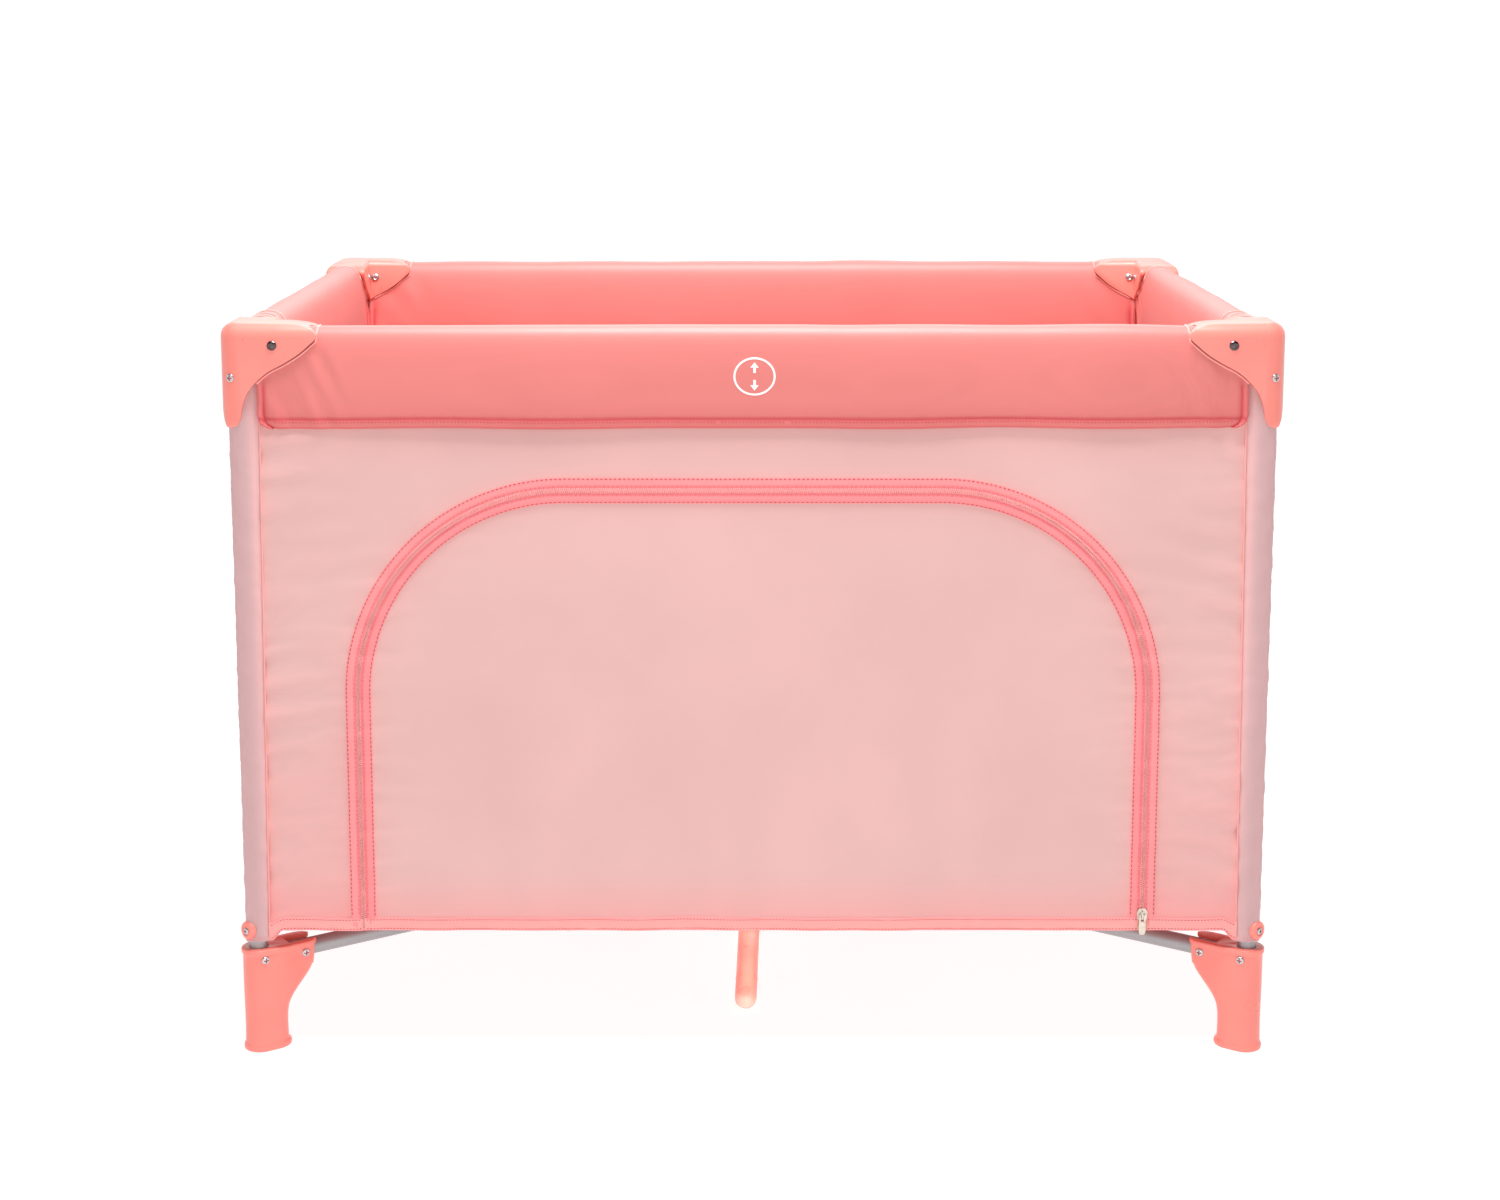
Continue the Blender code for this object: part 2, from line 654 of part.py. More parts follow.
def build_walls():
    for side, (first, second, along) in SIDES.items():
        is_long = abs(along.x) > 0.5
        half = (LEG_X if is_long else LEG_Y) + LEG_INSET - PANEL_END
        out = (corner_point(first) + corner_point(second)).normalized()
        near = (corner_point(first) + corner_point(second)).length / 2 + PANEL_OUTSET
        sign = 1 if out.x + out.y > 0 else -1
        levels = sorted((sign * near, sign * (near + PANEL_THICKNESS)))
        axis = 1 if is_long else 0
        outline = [(half, PANEL_BOTTOM), (half, PANEL_TOP), (-half, PANEL_TOP), (-half, PANEL_BOTTOM)]
        if side == "front":
            arch = door_outline(DOOR_HALF + DOOR_GAP, DOOR_TOP + DOOR_GAP, DOOR_RADIUS)
            outline = outline + arch[::-1]
            door = prism(door_outline(DOOR_HALF, DOOR_TOP, DOOR_RADIUS), axis, *levels)
            hinge = Vector((0, -near, PANEL_BOTTOM))
            add("zip_door", door, "wall_fabric", hinge)
        add("panel_" + side, prism(outline, axis, *levels), "wall_fabric")


def build_mat():
    """The padded floor in quarters, with a round hole over the hub for the pull strap."""
    for corner, (sign_x, sign_y) in CORNERS.items():
        far_x = LEG_X - MAT_MARGIN
        far_y = LEG_Y - MAT_MARGIN
        seam = 0.0005
        hole = arc((0, 0), MAT_HUB_HOLE, 0.6, 89.4, 6)
        trim = 0.012
        edge = [(seam, far_y), (far_x - trim, far_y), (far_x, far_y - trim), (far_x, seam)]
        outline = hole + edge
        quarter = prism([(sign_x * x, sign_y * y) for x, y in outline], 2, MAT_BOTTOM, MAT_TOP)
        add("floor_mat_" + corner, quarter, "mat_fabric")


def build_zip():
    """The slider at the lower right end of the zip, its pull tab and the stop under it."""
    face = -(LEG_Y + PANEL_OUTSET + PANEL_THICKNESS) - FIT_GAP
    seat = Vector((DOOR_HALF, face, SLIDER_HEIGHT))
    right = [(0.0045, -SLIDER_HALF_HEIGHT), (SLIDER_HALF_WIDTH, 0.002), (0.003, SLIDER_HALF_HEIGHT)]
    outline = right + [(-x, z) for x, z in right[::-1]]
    body = prism([(seat.x + x, seat.z + z) for x, z in outline], 1, face - SLIDER_DEPTH, face)
    hang = Vector((DOOR_HALF, face - PULL_STAND, seat.z - 0.0010))
    lug = box(
        (seat.x - LUG_HALF, hang.y - 0.002, seat.z - 0.0045),
        (seat.x + LUG_HALF, face - SLIDER_DEPTH + 0.0005, seat.z + 0.0035),
    )
    hole_reach = Vector((0.01, 0, 0))
    hole = rod(hang - hole_reach, hang + hole_reach, LUG_HOLE_RADIUS, 8)
    add("zip_slider", cut(join(body, lug), hole), "steel", seat)

    right = [(0.0022, -PULL_LENGTH), (PULL_HALF_WIDTH, -0.016), (0.0032, 0.0011)]
    tab = right + [(-x, z) for x, z in right[::-1]]
    thickness = (hang.y - PULL_HALF_THICKNESS, hang.y + PULL_HALF_THICKNESS)
    plate = prism([(hang.x + x, hang.z + z) for x, z in tab], 1, *thickness)
    window_half = 2 * LUG_HALF
    window = box(
        (hang.x - window_half, hang.y - 0.01, hang.z - 0.0062),
        (hang.x + window_half, hang.y + 0.01, hang.z + 0.01),
    )
    bar_reach = Vector((window_half + 0.0004, 0, 0))
    bar = rod(hang - bar_reach, hang + bar_reach, PULL_BAR_RADIUS, 8)
    add("zip_pull", join(cut(plate, window), bar), "steel", hang)

    low = PANEL_BOTTOM + 0.0005
    stop = box(
        (DOOR_HALF - STOP_HALF_WIDTH, face - STOP_DEPTH, low),
        (DOOR_HALF + STOP_HALF_WIDTH, face, low + STOP_HEIGHT),
    )
    add("zip_stop", stop, "steel", Vector((DOOR_HALF, face, low)))


def clear_scene():
    for item in list(bpy.data.objects):
        bpy.data.objects.remove(item)


clear_scene()
build_corners()
build_base_arms()
build_hub()
build_centre_legs()
build_sides()
build_walls()
build_mat()
build_zip()
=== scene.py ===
import json
import math

import bmesh
import bpy
import numpy as np
from mathutils import Matrix, Vector


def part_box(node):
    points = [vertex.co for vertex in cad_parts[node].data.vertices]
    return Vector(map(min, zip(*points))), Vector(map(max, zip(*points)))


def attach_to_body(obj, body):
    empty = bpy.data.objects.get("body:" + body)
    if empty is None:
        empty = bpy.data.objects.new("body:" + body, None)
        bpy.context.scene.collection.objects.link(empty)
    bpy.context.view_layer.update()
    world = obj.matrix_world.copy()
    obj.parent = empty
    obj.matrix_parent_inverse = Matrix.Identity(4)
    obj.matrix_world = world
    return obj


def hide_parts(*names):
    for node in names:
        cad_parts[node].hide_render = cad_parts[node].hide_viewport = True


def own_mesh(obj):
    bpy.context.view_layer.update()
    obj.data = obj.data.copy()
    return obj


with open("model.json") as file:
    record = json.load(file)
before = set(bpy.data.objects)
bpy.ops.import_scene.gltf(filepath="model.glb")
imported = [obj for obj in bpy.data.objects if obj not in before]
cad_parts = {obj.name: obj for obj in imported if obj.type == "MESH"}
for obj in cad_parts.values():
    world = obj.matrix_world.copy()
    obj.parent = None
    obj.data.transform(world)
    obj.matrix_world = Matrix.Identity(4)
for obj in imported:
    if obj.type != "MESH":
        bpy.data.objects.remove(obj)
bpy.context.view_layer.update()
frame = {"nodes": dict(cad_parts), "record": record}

# ---------------------------------------------------------------- places read from the frame

UP = Vector((0, 0, 1))
CORNERS = {
    "back_left": (-1, 1),
    "back_right": (1, 1),
    "front_left": (-1, -1),
    "front_right": (1, -1),
}


def middle_of(node):
    low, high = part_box(node)
    return (Vector(low) + Vector(high)) / 2


def size_of(node):
    low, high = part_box(node)
    return Vector(high) - Vector(low)


LEG = {corner: middle_of("leg_tube_" + corner) for corner in CORNERS}
LEG_X = LEG["back_right"].x
LEG_Y = LEG["back_right"].y
LEG_REACH = math.hypot(LEG_X, LEG_Y)
LEG_RADIUS = size_of("leg_tube_back_left").x / 2
LEG_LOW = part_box("leg_tube_back_left")[0][2]
LEG_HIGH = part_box("leg_tube_back_left")[1][2]
HALF_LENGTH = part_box("top_bracket_back_right")[1][0]
HALF_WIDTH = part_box("top_bracket_back_right")[1][1]
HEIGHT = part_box("top_bracket_back_right")[1][2]
RAIL_Y = middle_of("rail_back_back_left").y
RAIL_X = middle_of("rail_right_back_right").x
RAIL_Z = middle_of("rail_back_back_left").z
TUBE_RADIUS = size_of("rail_back_back_left").y / 2
BASE_Z = middle_of("base_arm_back_left").z
WALL_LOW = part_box("panel_back")[0][2]
WALL_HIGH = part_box("panel_back")[1][2]
COVER_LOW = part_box("rail_cover_back")[0][2]
COVER_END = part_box("rail_cover_back")[1][0]
COVER_END_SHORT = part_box("rail_cover_left")[1][1]
DOOR_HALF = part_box("zip_door")[1][0]
DOOR_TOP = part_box("zip_door")[1][2]
DOOR_RADIUS = 0.212
MAT_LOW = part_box("floor_mat_back_right")[0][2]
MAT_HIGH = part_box("floor_mat_back_right")[1][2]
MAT_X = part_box("floor_mat_back_right")[1][0]
MAT_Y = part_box("floor_mat_back_right")[1][1]
HUB_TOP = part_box("hub_cover")[1][2]

joint = {item["name"]: item for item in frame["record"]["behaviour"]["joints"]}
FOOT_PIVOT = LEG_REACH - Vector(joint["frame_fold"]["pos_m"][:2]).length
HUB_PIVOT = Vector(joint["hub_turn"]["pos_m"][:2]).length
RAIL_PIVOT_X = abs(joint["rail_back_back_left_turn"]["pos_m"][0])
RAIL_PIVOT_Y = abs(joint["rail_left_back_left_turn"]["pos_m"][1])
LOCK_PIN_X = abs(joint["lock_back_turn"]["pos_m"][0])
LOCK_PIN_Y = abs(joint["lock_left_turn"]["pos_m"][1])

# Each side: its corners, the direction between them, its outward normal, the body its wall rides on
SIDES = {
    "back": ("back_left", "back_right", Vector((1, 0, 0)), Vector((0, 1, 0)), "leg_back_left"),
    "front": ("front_left", "front_right", Vector((1, 0, 0)), Vector((0, -1, 0)), "leg_front_left"),
    "left": ("back_left", "front_left", Vector((0, -1, 0)), Vector((-1, 0, 0)), "leg_back_left"),
    "right": ("back_right", "front_right", Vector((0, -1, 0)), Vector((1, 0, 0)), "leg_back_right"),
}


def is_long(side):
    return side in ("back", "front")


def rail_line(side):
    """How far a side's rail lies from the middle of the frame."""
    return RAIL_Y if is_long(side) else RAIL_X


def cover_end(side):
    return COVER_END if is_long(side) else COVER_END_SHORT


def seed_of(side):
    return list(SIDES).index(side)


def diagonal(corner):
    sign_x, sign_y = CORNERS[corner]
    return Vector((sign_x * LEG_X, sign_y * LEG_Y, 0)) / LEG_REACH


# ---------------------------------------------------------------- materials

class Nodes:
    """A small helper that builds a node tree."""

    def __init__(self, name):
        self.material = bpy.data.materials.new(name)
        self.material.use_nodes = True
        self.tree = self.material.node_tree
        self.shader = self.tree.nodes["Principled BSDF"]

    def add(self, kind, **values):
        node = self.tree.nodes.new(kind)
        for key, value in values.items():
            if hasattr(node, key):
                setattr(node, key, value)
            else:
                node.inputs[key.replace("_", " ")].default_value = value
        return node

    def link(self, source, target):
        self.tree.links.new(source, target)

    def feed(self, socket, value):
        """Give a socket a number, a colour or another node's output."""
        if isinstance(value, (int, float)):
            socket.default_value = value
        elif isinstance(value, tuple):
            socket.default_value = (*value, 1.0)
        else:
            self.link(value, socket)

    def math(self, operation, first, second):
        node = self.add("ShaderNodeMath", operation=operation)
        self.feed(node.inputs[0], first)
        self.feed(node.inputs[1], second)
        return node.outputs[0]

    def ramp(self, source, low, high, first, second):
        node = self.add("ShaderNodeMapRange", From_Min=low, From_Max=high, To_Min=first, To_Max=second)
        self.link(source, node.inputs["Value"])
        return node.outputs["Result"]

    def blend(self, factor, first, second):
        node = self.add("ShaderNodeMix", data_type="RGBA")
        for index, value in ((0, factor), (6, first), (7, second)):
            self.feed(node.inputs[index], value)
        return node.outputs[2]

    def noise(self, coordinates, scale, detail=3.0, roughness=0.5):
        node = self.add("ShaderNodeTexNoise", Scale=scale, Detail=detail, Roughness=roughness)
        self.link(coordinates, node.inputs["Vector"])
        return node.outputs["Fac"]

    def bands(self, coordinates, direction, scale):
        node = self.add("ShaderNodeTexWave", bands_direction=direction, Scale=scale, Detail=1.0)
        self.link(coordinates, node.inputs["Vector"])
        return node.outputs["Fac"]

    def bump(self, height, strength, distance):
        node = self.add("ShaderNodeBump", Strength=strength, Distance=distance)
        self.link(height, node.inputs["Height"])
        self.link(node.outputs["Normal"], self.shader.inputs["Normal"])

    def set(self, **values):
        for key, value in values.items():
            self.shader.inputs[key.replace("_", " ")].default_value = value


def srgb(red, green, blue):
    """Linear colour from 0 to 255 display values."""
    return tuple(((v / 255 + 0.055) / 1.055) ** 2.4 for v in (red, green, blue))


def darker(color, share):
    return tuple(v * share for v in color)


def fabric(name, color, tint=None, weave=0.0009, rough=0.62, sheen=0.25, mottle=0.12, strength=0.25):
    """Woven cloth: crossed threads, soft mottling, fine fuzz and an optional painted second colour, which on
    some pieces carries painted shade.
    """
    nodes = Nodes(name)
    place = nodes.add("ShaderNodeTexCoord").outputs["Object"]
    wave_scale = 0.314 / weave
    warp = nodes.math("ADD", nodes.bands(place, "X", wave_scale), nodes.bands(place, "Y", wave_scale))
    threads = nodes.math("MULTIPLY", warp, nodes.bands(place, "Z", wave_scale))
    cloud = nodes.noise(place, 7.0, 4.0, 0.55)
    grain = nodes.noise(place, 900.0, 2.0)
    base = nodes.blend(nodes.ramp(cloud, 0.3, 0.7, 0.0, 1.0), darker(color, 1 - mottle), color)
    # The tint attribute mixes in the second colour; on covers, walls, zip tape and sleeves it is partly
    # painted shade.
    if tint:
        paint = nodes.add("ShaderNodeAttribute", attribute_name="tint").outputs["Fac"]
        base = nodes.blend(paint, base, tint)
    shade = nodes.ramp(threads, 0.0, 1.2, 0.0, 0.30)
    base = nodes.blend(shade, base, darker(color, 0.82))
    nodes.link(base, nodes.shader.inputs["Base Color"])
    nodes.link(nodes.ramp(grain, 0.3, 0.7, rough - 0.06, rough + 0.08), nodes.shader.inputs["Roughness"])
    nodes.set(Sheen_Weight=sheen, Sheen_Roughness=0.45, Specular_IOR_Level=0.35)
    height = nodes.math("ADD", nodes.math("MULTIPLY", threads, 0.8), nodes.math("MULTIPLY", grain, 0.35))
    nodes.bump(height, strength, 0.0002)
    return nodes.material


def plastic(name, color, rough=0.30, grain_size=1400.0, coat=0.12):
    """Moulded plastic: fine spark-eroded grain, faint flow marks and a lighter colour on sharp outer edges.
    """
    nodes = Nodes(name)
    place = nodes.add("ShaderNodeTexCoord").outputs["Object"]
    flow = nodes.noise(place, 22.0, 3.0)
    grain = nodes.noise(place, grain_size, 2.0)
    edge = nodes.add("ShaderNodeNewGeometry").outputs["Pointiness"]
    base = nodes.blend(nodes.ramp(flow, 0.3, 0.7, 0.0, 1.0), darker(color, 0.94), color)
    light = tuple(min(1.0, v * 1.08 + 0.02) for v in color)
    base = nodes.blend(nodes.ramp(edge, 0.52, 0.58, 0.0, 0.35), base, light)
    nodes.link(base, nodes.shader.inputs["Base Color"])
    nodes.link(nodes.ramp(flow, 0.3, 0.7, rough - 0.04, rough + 0.05), nodes.shader.inputs["Roughness"])
    nodes.set(Coat_Weight=coat, Coat_Roughness=0.25, Subsurface_Weight=0.03)
    nodes.bump(grain, 0.12, 0.0001)
    return nodes.material


def metal(name, color, rough=0.28, brushed=0.3):
    """Plated metal: fine brushing and small scuffs."""
    nodes = Nodes(name)
    place = nodes.add("ShaderNodeTexCoord").outputs["Object"]
    scuff = nodes.noise(place, 260.0, 4.0, 0.65)
    base = nodes.blend(nodes.ramp(scuff, 0.35, 0.7, 0.0, 1.0), color, darker(color, 0.78))
    nodes.link(base, nodes.shader.inputs["Base Color"])
    nodes.link(nodes.ramp(scuff, 0.3, 0.7, rough - 0.08, rough + 0.12), nodes.shader.inputs["Roughness"])
    nodes.set(Metallic=1.0)
    nodes.bump(nodes.noise(place, 2400.0, 2.0), brushed, 0.00005)
    return nodes.material


def powder_coat(name, color):
    """Grey powder-coated tube: orange-peel skin with a few darker specks."""
    nodes = Nodes(name)
    place = nodes.add("ShaderNodeTexCoord").outputs["Object"]
    peel = nodes.noise(place, 700.0, 2.0)
    speck = nodes.noise(place, 1800.0, 1.0)
    cloud = nodes.noise(place, 18.0, 3.0)
    base = nodes.blend(nodes.ramp(cloud, 0.3, 0.7, 0.0, 1.0), darker(color, 0.9), color)
    base = nodes.blend(nodes.ramp(speck, 0.60, 0.75, 0.0, 0.5), base, darker(color, 0.6))
    nodes.link(base, nodes.shader.inputs["Base Color"])
    nodes.link(nodes.ramp(peel, 0.3, 0.7, 0.36, 0.48), nodes.shader.inputs["Roughness"])
    nodes.set(Metallic=0.55, Coat_Weight=0.15, Coat_Roughness=0.3)
    nodes.bump(peel, 0.25, 0.0002)
    return nodes.material


CORAL = srgb(248, 134, 122)
# CORAL_DEEP, the covers' second colour, is painted shade in their hem crease, end folds and end edges, and
# also a darker low strip and line.
CORAL_DEEP = srgb(206, 66, 76)
COVER_PINK = srgb(223, 124, 119)
WALL_PINK = srgb(223, 177, 173)
# WALL_DEEP, the walls' second colour, is partly painted shade under the rail cover and in the pulled creases.
WALL_DEEP = srgb(238, 150, 148)
TAPE_PINK = srgb(250, 150, 152)
STITCH_RED = srgb(205, 62, 70)

LOOKS = {
    "coral_plastic": plastic("coral_plastic", CORAL),
    "hub_plastic": plastic("hub_plastic", srgb(120, 120, 122), 0.42),
    "grey_tube": powder_coat("grey_tube", srgb(166, 166, 168)),
    "steel": metal("steel", srgb(206, 204, 206), 0.24),
    "rivet_steel": metal("rivet_steel", srgb(104, 90, 92), 0.16),
    "nickel": metal("nickel", srgb(222, 210, 196), 0.35),
    "rail_fabric": fabric("rail_fabric", COVER_PINK, CORAL_DEEP, rough=0.42, sheen=0.06, mottle=0.05),
    "wall_fabric": fabric("wall_fabric", WALL_PINK, WALL_DEEP, mottle=0.06),
    # The sleeve's grey second colour is painted shade: the grey leg tube seen through the thin cloth.
    "sleeve_fabric": fabric("sleeve_fabric", srgb(226, 176, 175), srgb(184, 150, 153), mottle=0.06),
    "hem_fabric": fabric("hem_fabric", srgb(248, 166, 160), TAPE_PINK, rough=0.5, mottle=0.06),
    # The tape's red second colour is painted shade beside the coil and also darkens the door's tape.
    "tape_fabric": fabric("tape_fabric", TAPE_PINK, srgb(232, 96, 106), weave=0.0006, mottle=0.08),
    "coil_nylon": plastic("coil_nylon", srgb(252, 168, 166), 0.35),
    "stitch_thread": fabric("stitch_thread", STITCH_RED, weave=0.0003, rough=0.7, mottle=0.2),
    "pink_thread": fabric("pink_thread", srgb(246, 120, 124), weave=0.0003, rough=0.7, mottle=0.2),
    "mat_fabric": fabric("mat_fabric", srgb(238, 150, 142), srgb(226, 118, 112), mottle=0.10),
    "floor_fabric": fabric("floor_fabric", srgb(226, 120, 114), mottle=0.12),
    "webbing": fabric("webbing", srgb(232, 104, 98), weave=0.0022, strength=0.6, mottle=0.15),
    "print_white": fabric("print_white", srgb(250, 246, 244), rough=0.5, mottle=0.03, strength=0.1),
}


# ---------------------------------------------------------------- mesh tools

def make(name, vertices, faces, look, smooth=40, tint=None):
    """A piece from vertices and faces, with its faces turned outward."""
    mesh = bpy.data.meshes.new(name)
    mesh.from_pydata([tuple(map(float, v)) for v in vertices], [], [tuple(map(int, f)) for f in faces])
    shape = bmesh.new()
    shape.from_mesh(mesh)
    bmesh.ops.recalc_face_normals(shape, faces=shape.faces)
    shape.to_mesh(mesh)
    shape.free()
    if tint is not None:
        layer = mesh.attributes.new("tint", "FLOAT", "POINT")
        layer.data.foreach_set("value", np.asarray(tint, np.float32).ravel())
    return place_mesh(name, mesh, look, smooth)


def place_mesh(name, mesh, look, smooth=40):
    mesh.shade_smooth()
    mesh.set_sharp_from_angle(angle=math.radians(smooth))
    mesh.materials.clear()
    mesh.materials.append(LOOKS[look])
    piece = bpy.data.objects.new(name, mesh)
    bpy.context.scene.collection.objects.link(piece)
    return piece


def attach(piece, body, node=None):
    """A piece rides a body and, where given, stands for a CAD node."""
    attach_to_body(piece, body)
    if node:
        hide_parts(node)
    return piece


def shell(front, back):
    """Vertices and faces of a thin closed solid between two equal point grids."""
    rows, columns = front.shape[:2]
    vertices = np.concatenate([front.reshape(-1, 3), back.reshape(-1, 3)])
    index = np.arange(rows * columns).reshape(rows, columns)
    other = index + rows * columns

    def quads(grid):
        return np.stack([grid[:-1, :-1], grid[1:, :-1], grid[1:, 1:], grid[:-1, 1:]], -1).reshape(-1, 4)

    faces = [quads(index), quads(other)[:, ::-1]]
    for near, far in ((index[0], other[0]), (index[-1], other[-1]), (index[:, 0], other[:, 0]),
                      (index[:, -1], other[:, -1])):
        faces.append(np.stack([near[:-1], near[1:], far[1:], far[:-1]], -1))
    return vertices, np.concatenate(faces)


def tube_rings(rings, closed=False, capped=True):
    """Vertices and faces of a stack of point rings, capped at both ends unless it closes on itself."""
    count, sides = rings.shape[:2]
    index = np.arange(count * sides).reshape(count, sides)
    ahead = np.roll(index, -1, axis=1)
    faces = []
    last = count if closed else count - 1
    for i in range(last):
        j = (i + 1) % count
        faces.extend(np.stack([index[i], ahead[i], ahead[j], index[j]], -1).tolist())
    if capped and not closed:
        faces.append(index[0][::-1].tolist())
        faces.append(index[-1].tolist())
    return rings.reshape(-1, 3), faces


def unit(vectors):
    """Vectors scaled to length 1."""
    return vectors / np.maximum(np.linalg.norm(vectors, axis=-1, keepdims=True), 1e-9)


def distances(path):
    """How far along a path each of its points lies."""
    return np.concatenate([[0], np.cumsum(np.linalg.norm(np.diff(path, axis=0), axis=1))])


def along_path(path, places):
    """Points at given distances along a path."""
    return np.stack([np.interp(places, distances(path), path[:, k]) for k in range(path.shape[1])], -1)


def oval(wide, tall, count, wide_power=1.0, tall_power=1.0):
    """A closed oval outline. Powers below 1 make it squarer."""
    angles = [2 * math.pi * i / count for i in range(count)]
    return [(wide * math.copysign(abs(math.cos(a)) ** wide_power, math.cos(a)),
             tall * math.copysign(abs(math.sin(a)) ** tall_power, math.sin(a))) for a in angles]


def sweep(path, normal, profile):
    """Rings of a closed profile along a flat path. A profile point is (across the path, out of its plane)."""
    path = np.asarray(path, float)
    normal = np.asarray(normal, float)
    side = unit(np.cross(unit(np.gradient(path, axis=0)), normal))
    profile = np.asarray(profile, float)
    return path[:, None] + side[:, None] * profile[None, :, :1] + normal * profile[None, :, 1:]


def cord_mesh(path, radius, sides=10):
    """Vertices and faces of a round cord along any path."""
    tangent = unit(np.gradient(path, axis=0))
    side = np.cross(tangent[0], (0.3, 0.2, 0.93))
    angles = np.linspace(0, 2 * math.pi, sides, endpoint=False)[:, None]
    rings = []
    for point, ahead in zip(path, tangent):
        side = unit(side - ahead * (side @ ahead))
        rings.append(point + radius * (np.cos(angles) * side + np.sin(angles) * np.cross(ahead, side)))
    return tube_rings(np.array(rings))


def lathe(profile, sides, origin, direction):
    """Vertices and faces of a turned solid about a direction. profile is (radius, height) from end to end."""
    turn = np.array(Vector(direction).to_track_quat("Z", "Y").to_matrix())
    vertices = []
    rings = []
    for radius, height in profile:
        count = 1 if radius == 0 else sides
        rings.append(list(range(len(vertices), len(vertices) + count)))
        for i in range(count):
            angle = 2 * math.pi * i / sides
            point = np.array((radius * math.cos(angle), radius * math.sin(angle), height))
            vertices.append(turn @ point + np.array(origin))
    faces = []
    for first, second in zip(rings, rings[1:]):
        for i in range(sides):
            j = (i + 1) % sides
            corners = [ring[k % len(ring)] for ring, k in ((first, i), (first, j), (second, j), (second, i))]
            faces.append(list(dict.fromkeys(corners)))
    return vertices, faces


def merged(parts):
    """Several (vertices, faces) as one."""
    vertices = []
    faces = []
    for part_vertices, part_faces in parts:
        shift = len(vertices)
        vertices.extend([tuple(v) for v in part_vertices])
        faces.extend([[i + shift for i in face] for face in part_faces])
    return vertices, faces


def smoothstep(value, low, high):
    share = np.clip((value - low) / (high - low), 0, 1)
    return share * share * (3 - 2 * share)


def bell(value, width):
    """1 where the value is 0, falling off over a width."""
    return np.exp(-(value / width) ** 2)


def ripples(first, second, wavelength, seed, count=7):
    """Soft seeded waves over two coordinates, between about -1 and 1."""
    draw = np.random.default_rng(seed)
    total = np.zeros(np.broadcast(first, second).shape)
    for _ in range(count):
        angle = draw.uniform(0, 2 * math.pi)
        step = 2 * math.pi / (wavelength * draw.uniform(0.7, 1.5))
        phase = draw.uniform(0, 2 * math.pi)
        total += np.sin(step * (first * math.cos(angle) + second * math.sin(angle)) + phase)
    return total / count * 1.6


def pointed_bar(points, first_side, second_side):
    """A four-sided bar through four points, pointed at its ends."""
    ring = [first_side, second_side, -first_side, -second_side]
    vertices = [points[0]] + [points[1] + r for r in ring] + [points[2] + r for r in ring] + [points[3]]
    faces = []
    for i in range(4):
        j = (i + 1) % 4
        faces += [[0, 1 + j, 1 + i], [1 + i, 1 + j, 5 + j, 5 + i], [5 + i, 5 + j, 9]]
    return vertices, faces


def stitches(name, path, normal, look, pitch=0.0034, length=0.0023, radius=0.00035):
    """A row of thread stitches along a path, each a small pointed bar lying on the cloth."""
    out = np.array(normal, float)
    shares = np.array((-0.5, -0.25, 0.25, 0.5))
    parts = []
    for centre in np.arange(pitch, distances(path)[-1] - pitch / 2, pitch):
        points = along_path(path, centre + shares * length)
        across = np.cross(unit(points[-1] - points[0]), out)
        parts.append(pointed_bar(points, out * radius, across * radius))
    return make(name, *merged(parts), look, 180)


def block(low, high):
    """A box mesh for cutting."""
    shape = bmesh.new()
    bmesh.ops.create_cube(shape, size=1.0)
    bmesh.ops.scale(shape, vec=[b - a for a, b in zip(low, high)], verts=shape.verts)
    bmesh.ops.translate(shape, vec=[(a + b) / 2 for a, b in zip(low, high)], verts=shape.verts)
    return shape


def as_shape(vertices, faces):
    mesh = bpy.data.meshes.new("scratch")
    mesh.from_pydata([tuple(map(float, v)) for v in vertices], [], [tuple(map(int, f)) for f in faces])
    shape = bmesh.new()
    shape.from_mesh(mesh)
    bpy.data.meshes.remove(mesh)
    return shape


def bake(piece):
    """A piece's modifiers become its mesh."""
    depsgraph = bpy.context.evaluated_depsgraph_get()
    piece.data = bpy.data.meshes.new_from_object(piece.evaluated_get(depsgraph))
    piece.modifiers.clear()


def round_edges(piece, width, segments=2):
    modifier = piece.modifiers.new("edges", "BEVEL")
    modifier.width = width
    modifier.segments = segments
    modifier.limit_method = "ANGLE"
    modifier.angle_limit = math.radians(40)


def combine(base, tool, operation="DIFFERENCE"):
    """Cut, join or intersect two closed shapes."""
    scratch = []
    for shape in (base, tool):
        bmesh.ops.recalc_face_normals(shape, faces=shape.faces)
        mesh = bpy.data.meshes.new("scratch")
        shape.to_mesh(mesh)
        scratch.append(bpy.data.objects.new("scratch", mesh))
        bpy.context.scene.collection.objects.link(scratch[-1])
    modifier = scratch[0].modifiers.new("combine", "BOOLEAN")
    modifier.operation = operation
    modifier.object = scratch[1]
    result = bmesh.new()
    result.from_object(scratch[0], bpy.context.evaluated_depsgraph_get())
    for item in scratch:
        bpy.data.objects.remove(item)
    return result


def prism(outline, axis, low, high):
    """Extrude a flat outline along axis 0, 1 or 2."""
    def place(point, level):
        values = list(point)
        values.insert(axis, level)
        return values

    count = len(outline)
    vertices = [place(p, low) for p in outline] + [place(p, high) for p in outline]
    faces = [list(range(count)), list(range(count, 2 * count))[::-1]]
    faces += [[i, (i + 1) % count, count + (i + 1) % count, count + i] for i in range(count)]
    return as_shape(vertices, faces)


def from_shape(name, shape, look, smooth=35, bevel=0.0, segments=2):
    """A piece from a bmesh, with its sharp edges rounded where a bevel width is given."""
    mesh = bpy.data.meshes.new(name)
    bmesh.ops.remove_doubles(shape, verts=shape.verts, dist=0.000002)
    bmesh.ops.recalc_face_normals(shape, faces=shape.faces)
    shape.to_mesh(mesh)
    piece = place_mesh(name, mesh, look, smooth)
    if bevel:
        round_edges(piece, bevel, segments)
        bake(piece)
        piece.data.shade_smooth()
        piece.data.set_sharp_from_angle(angle=math.radians(smooth))
    return piece


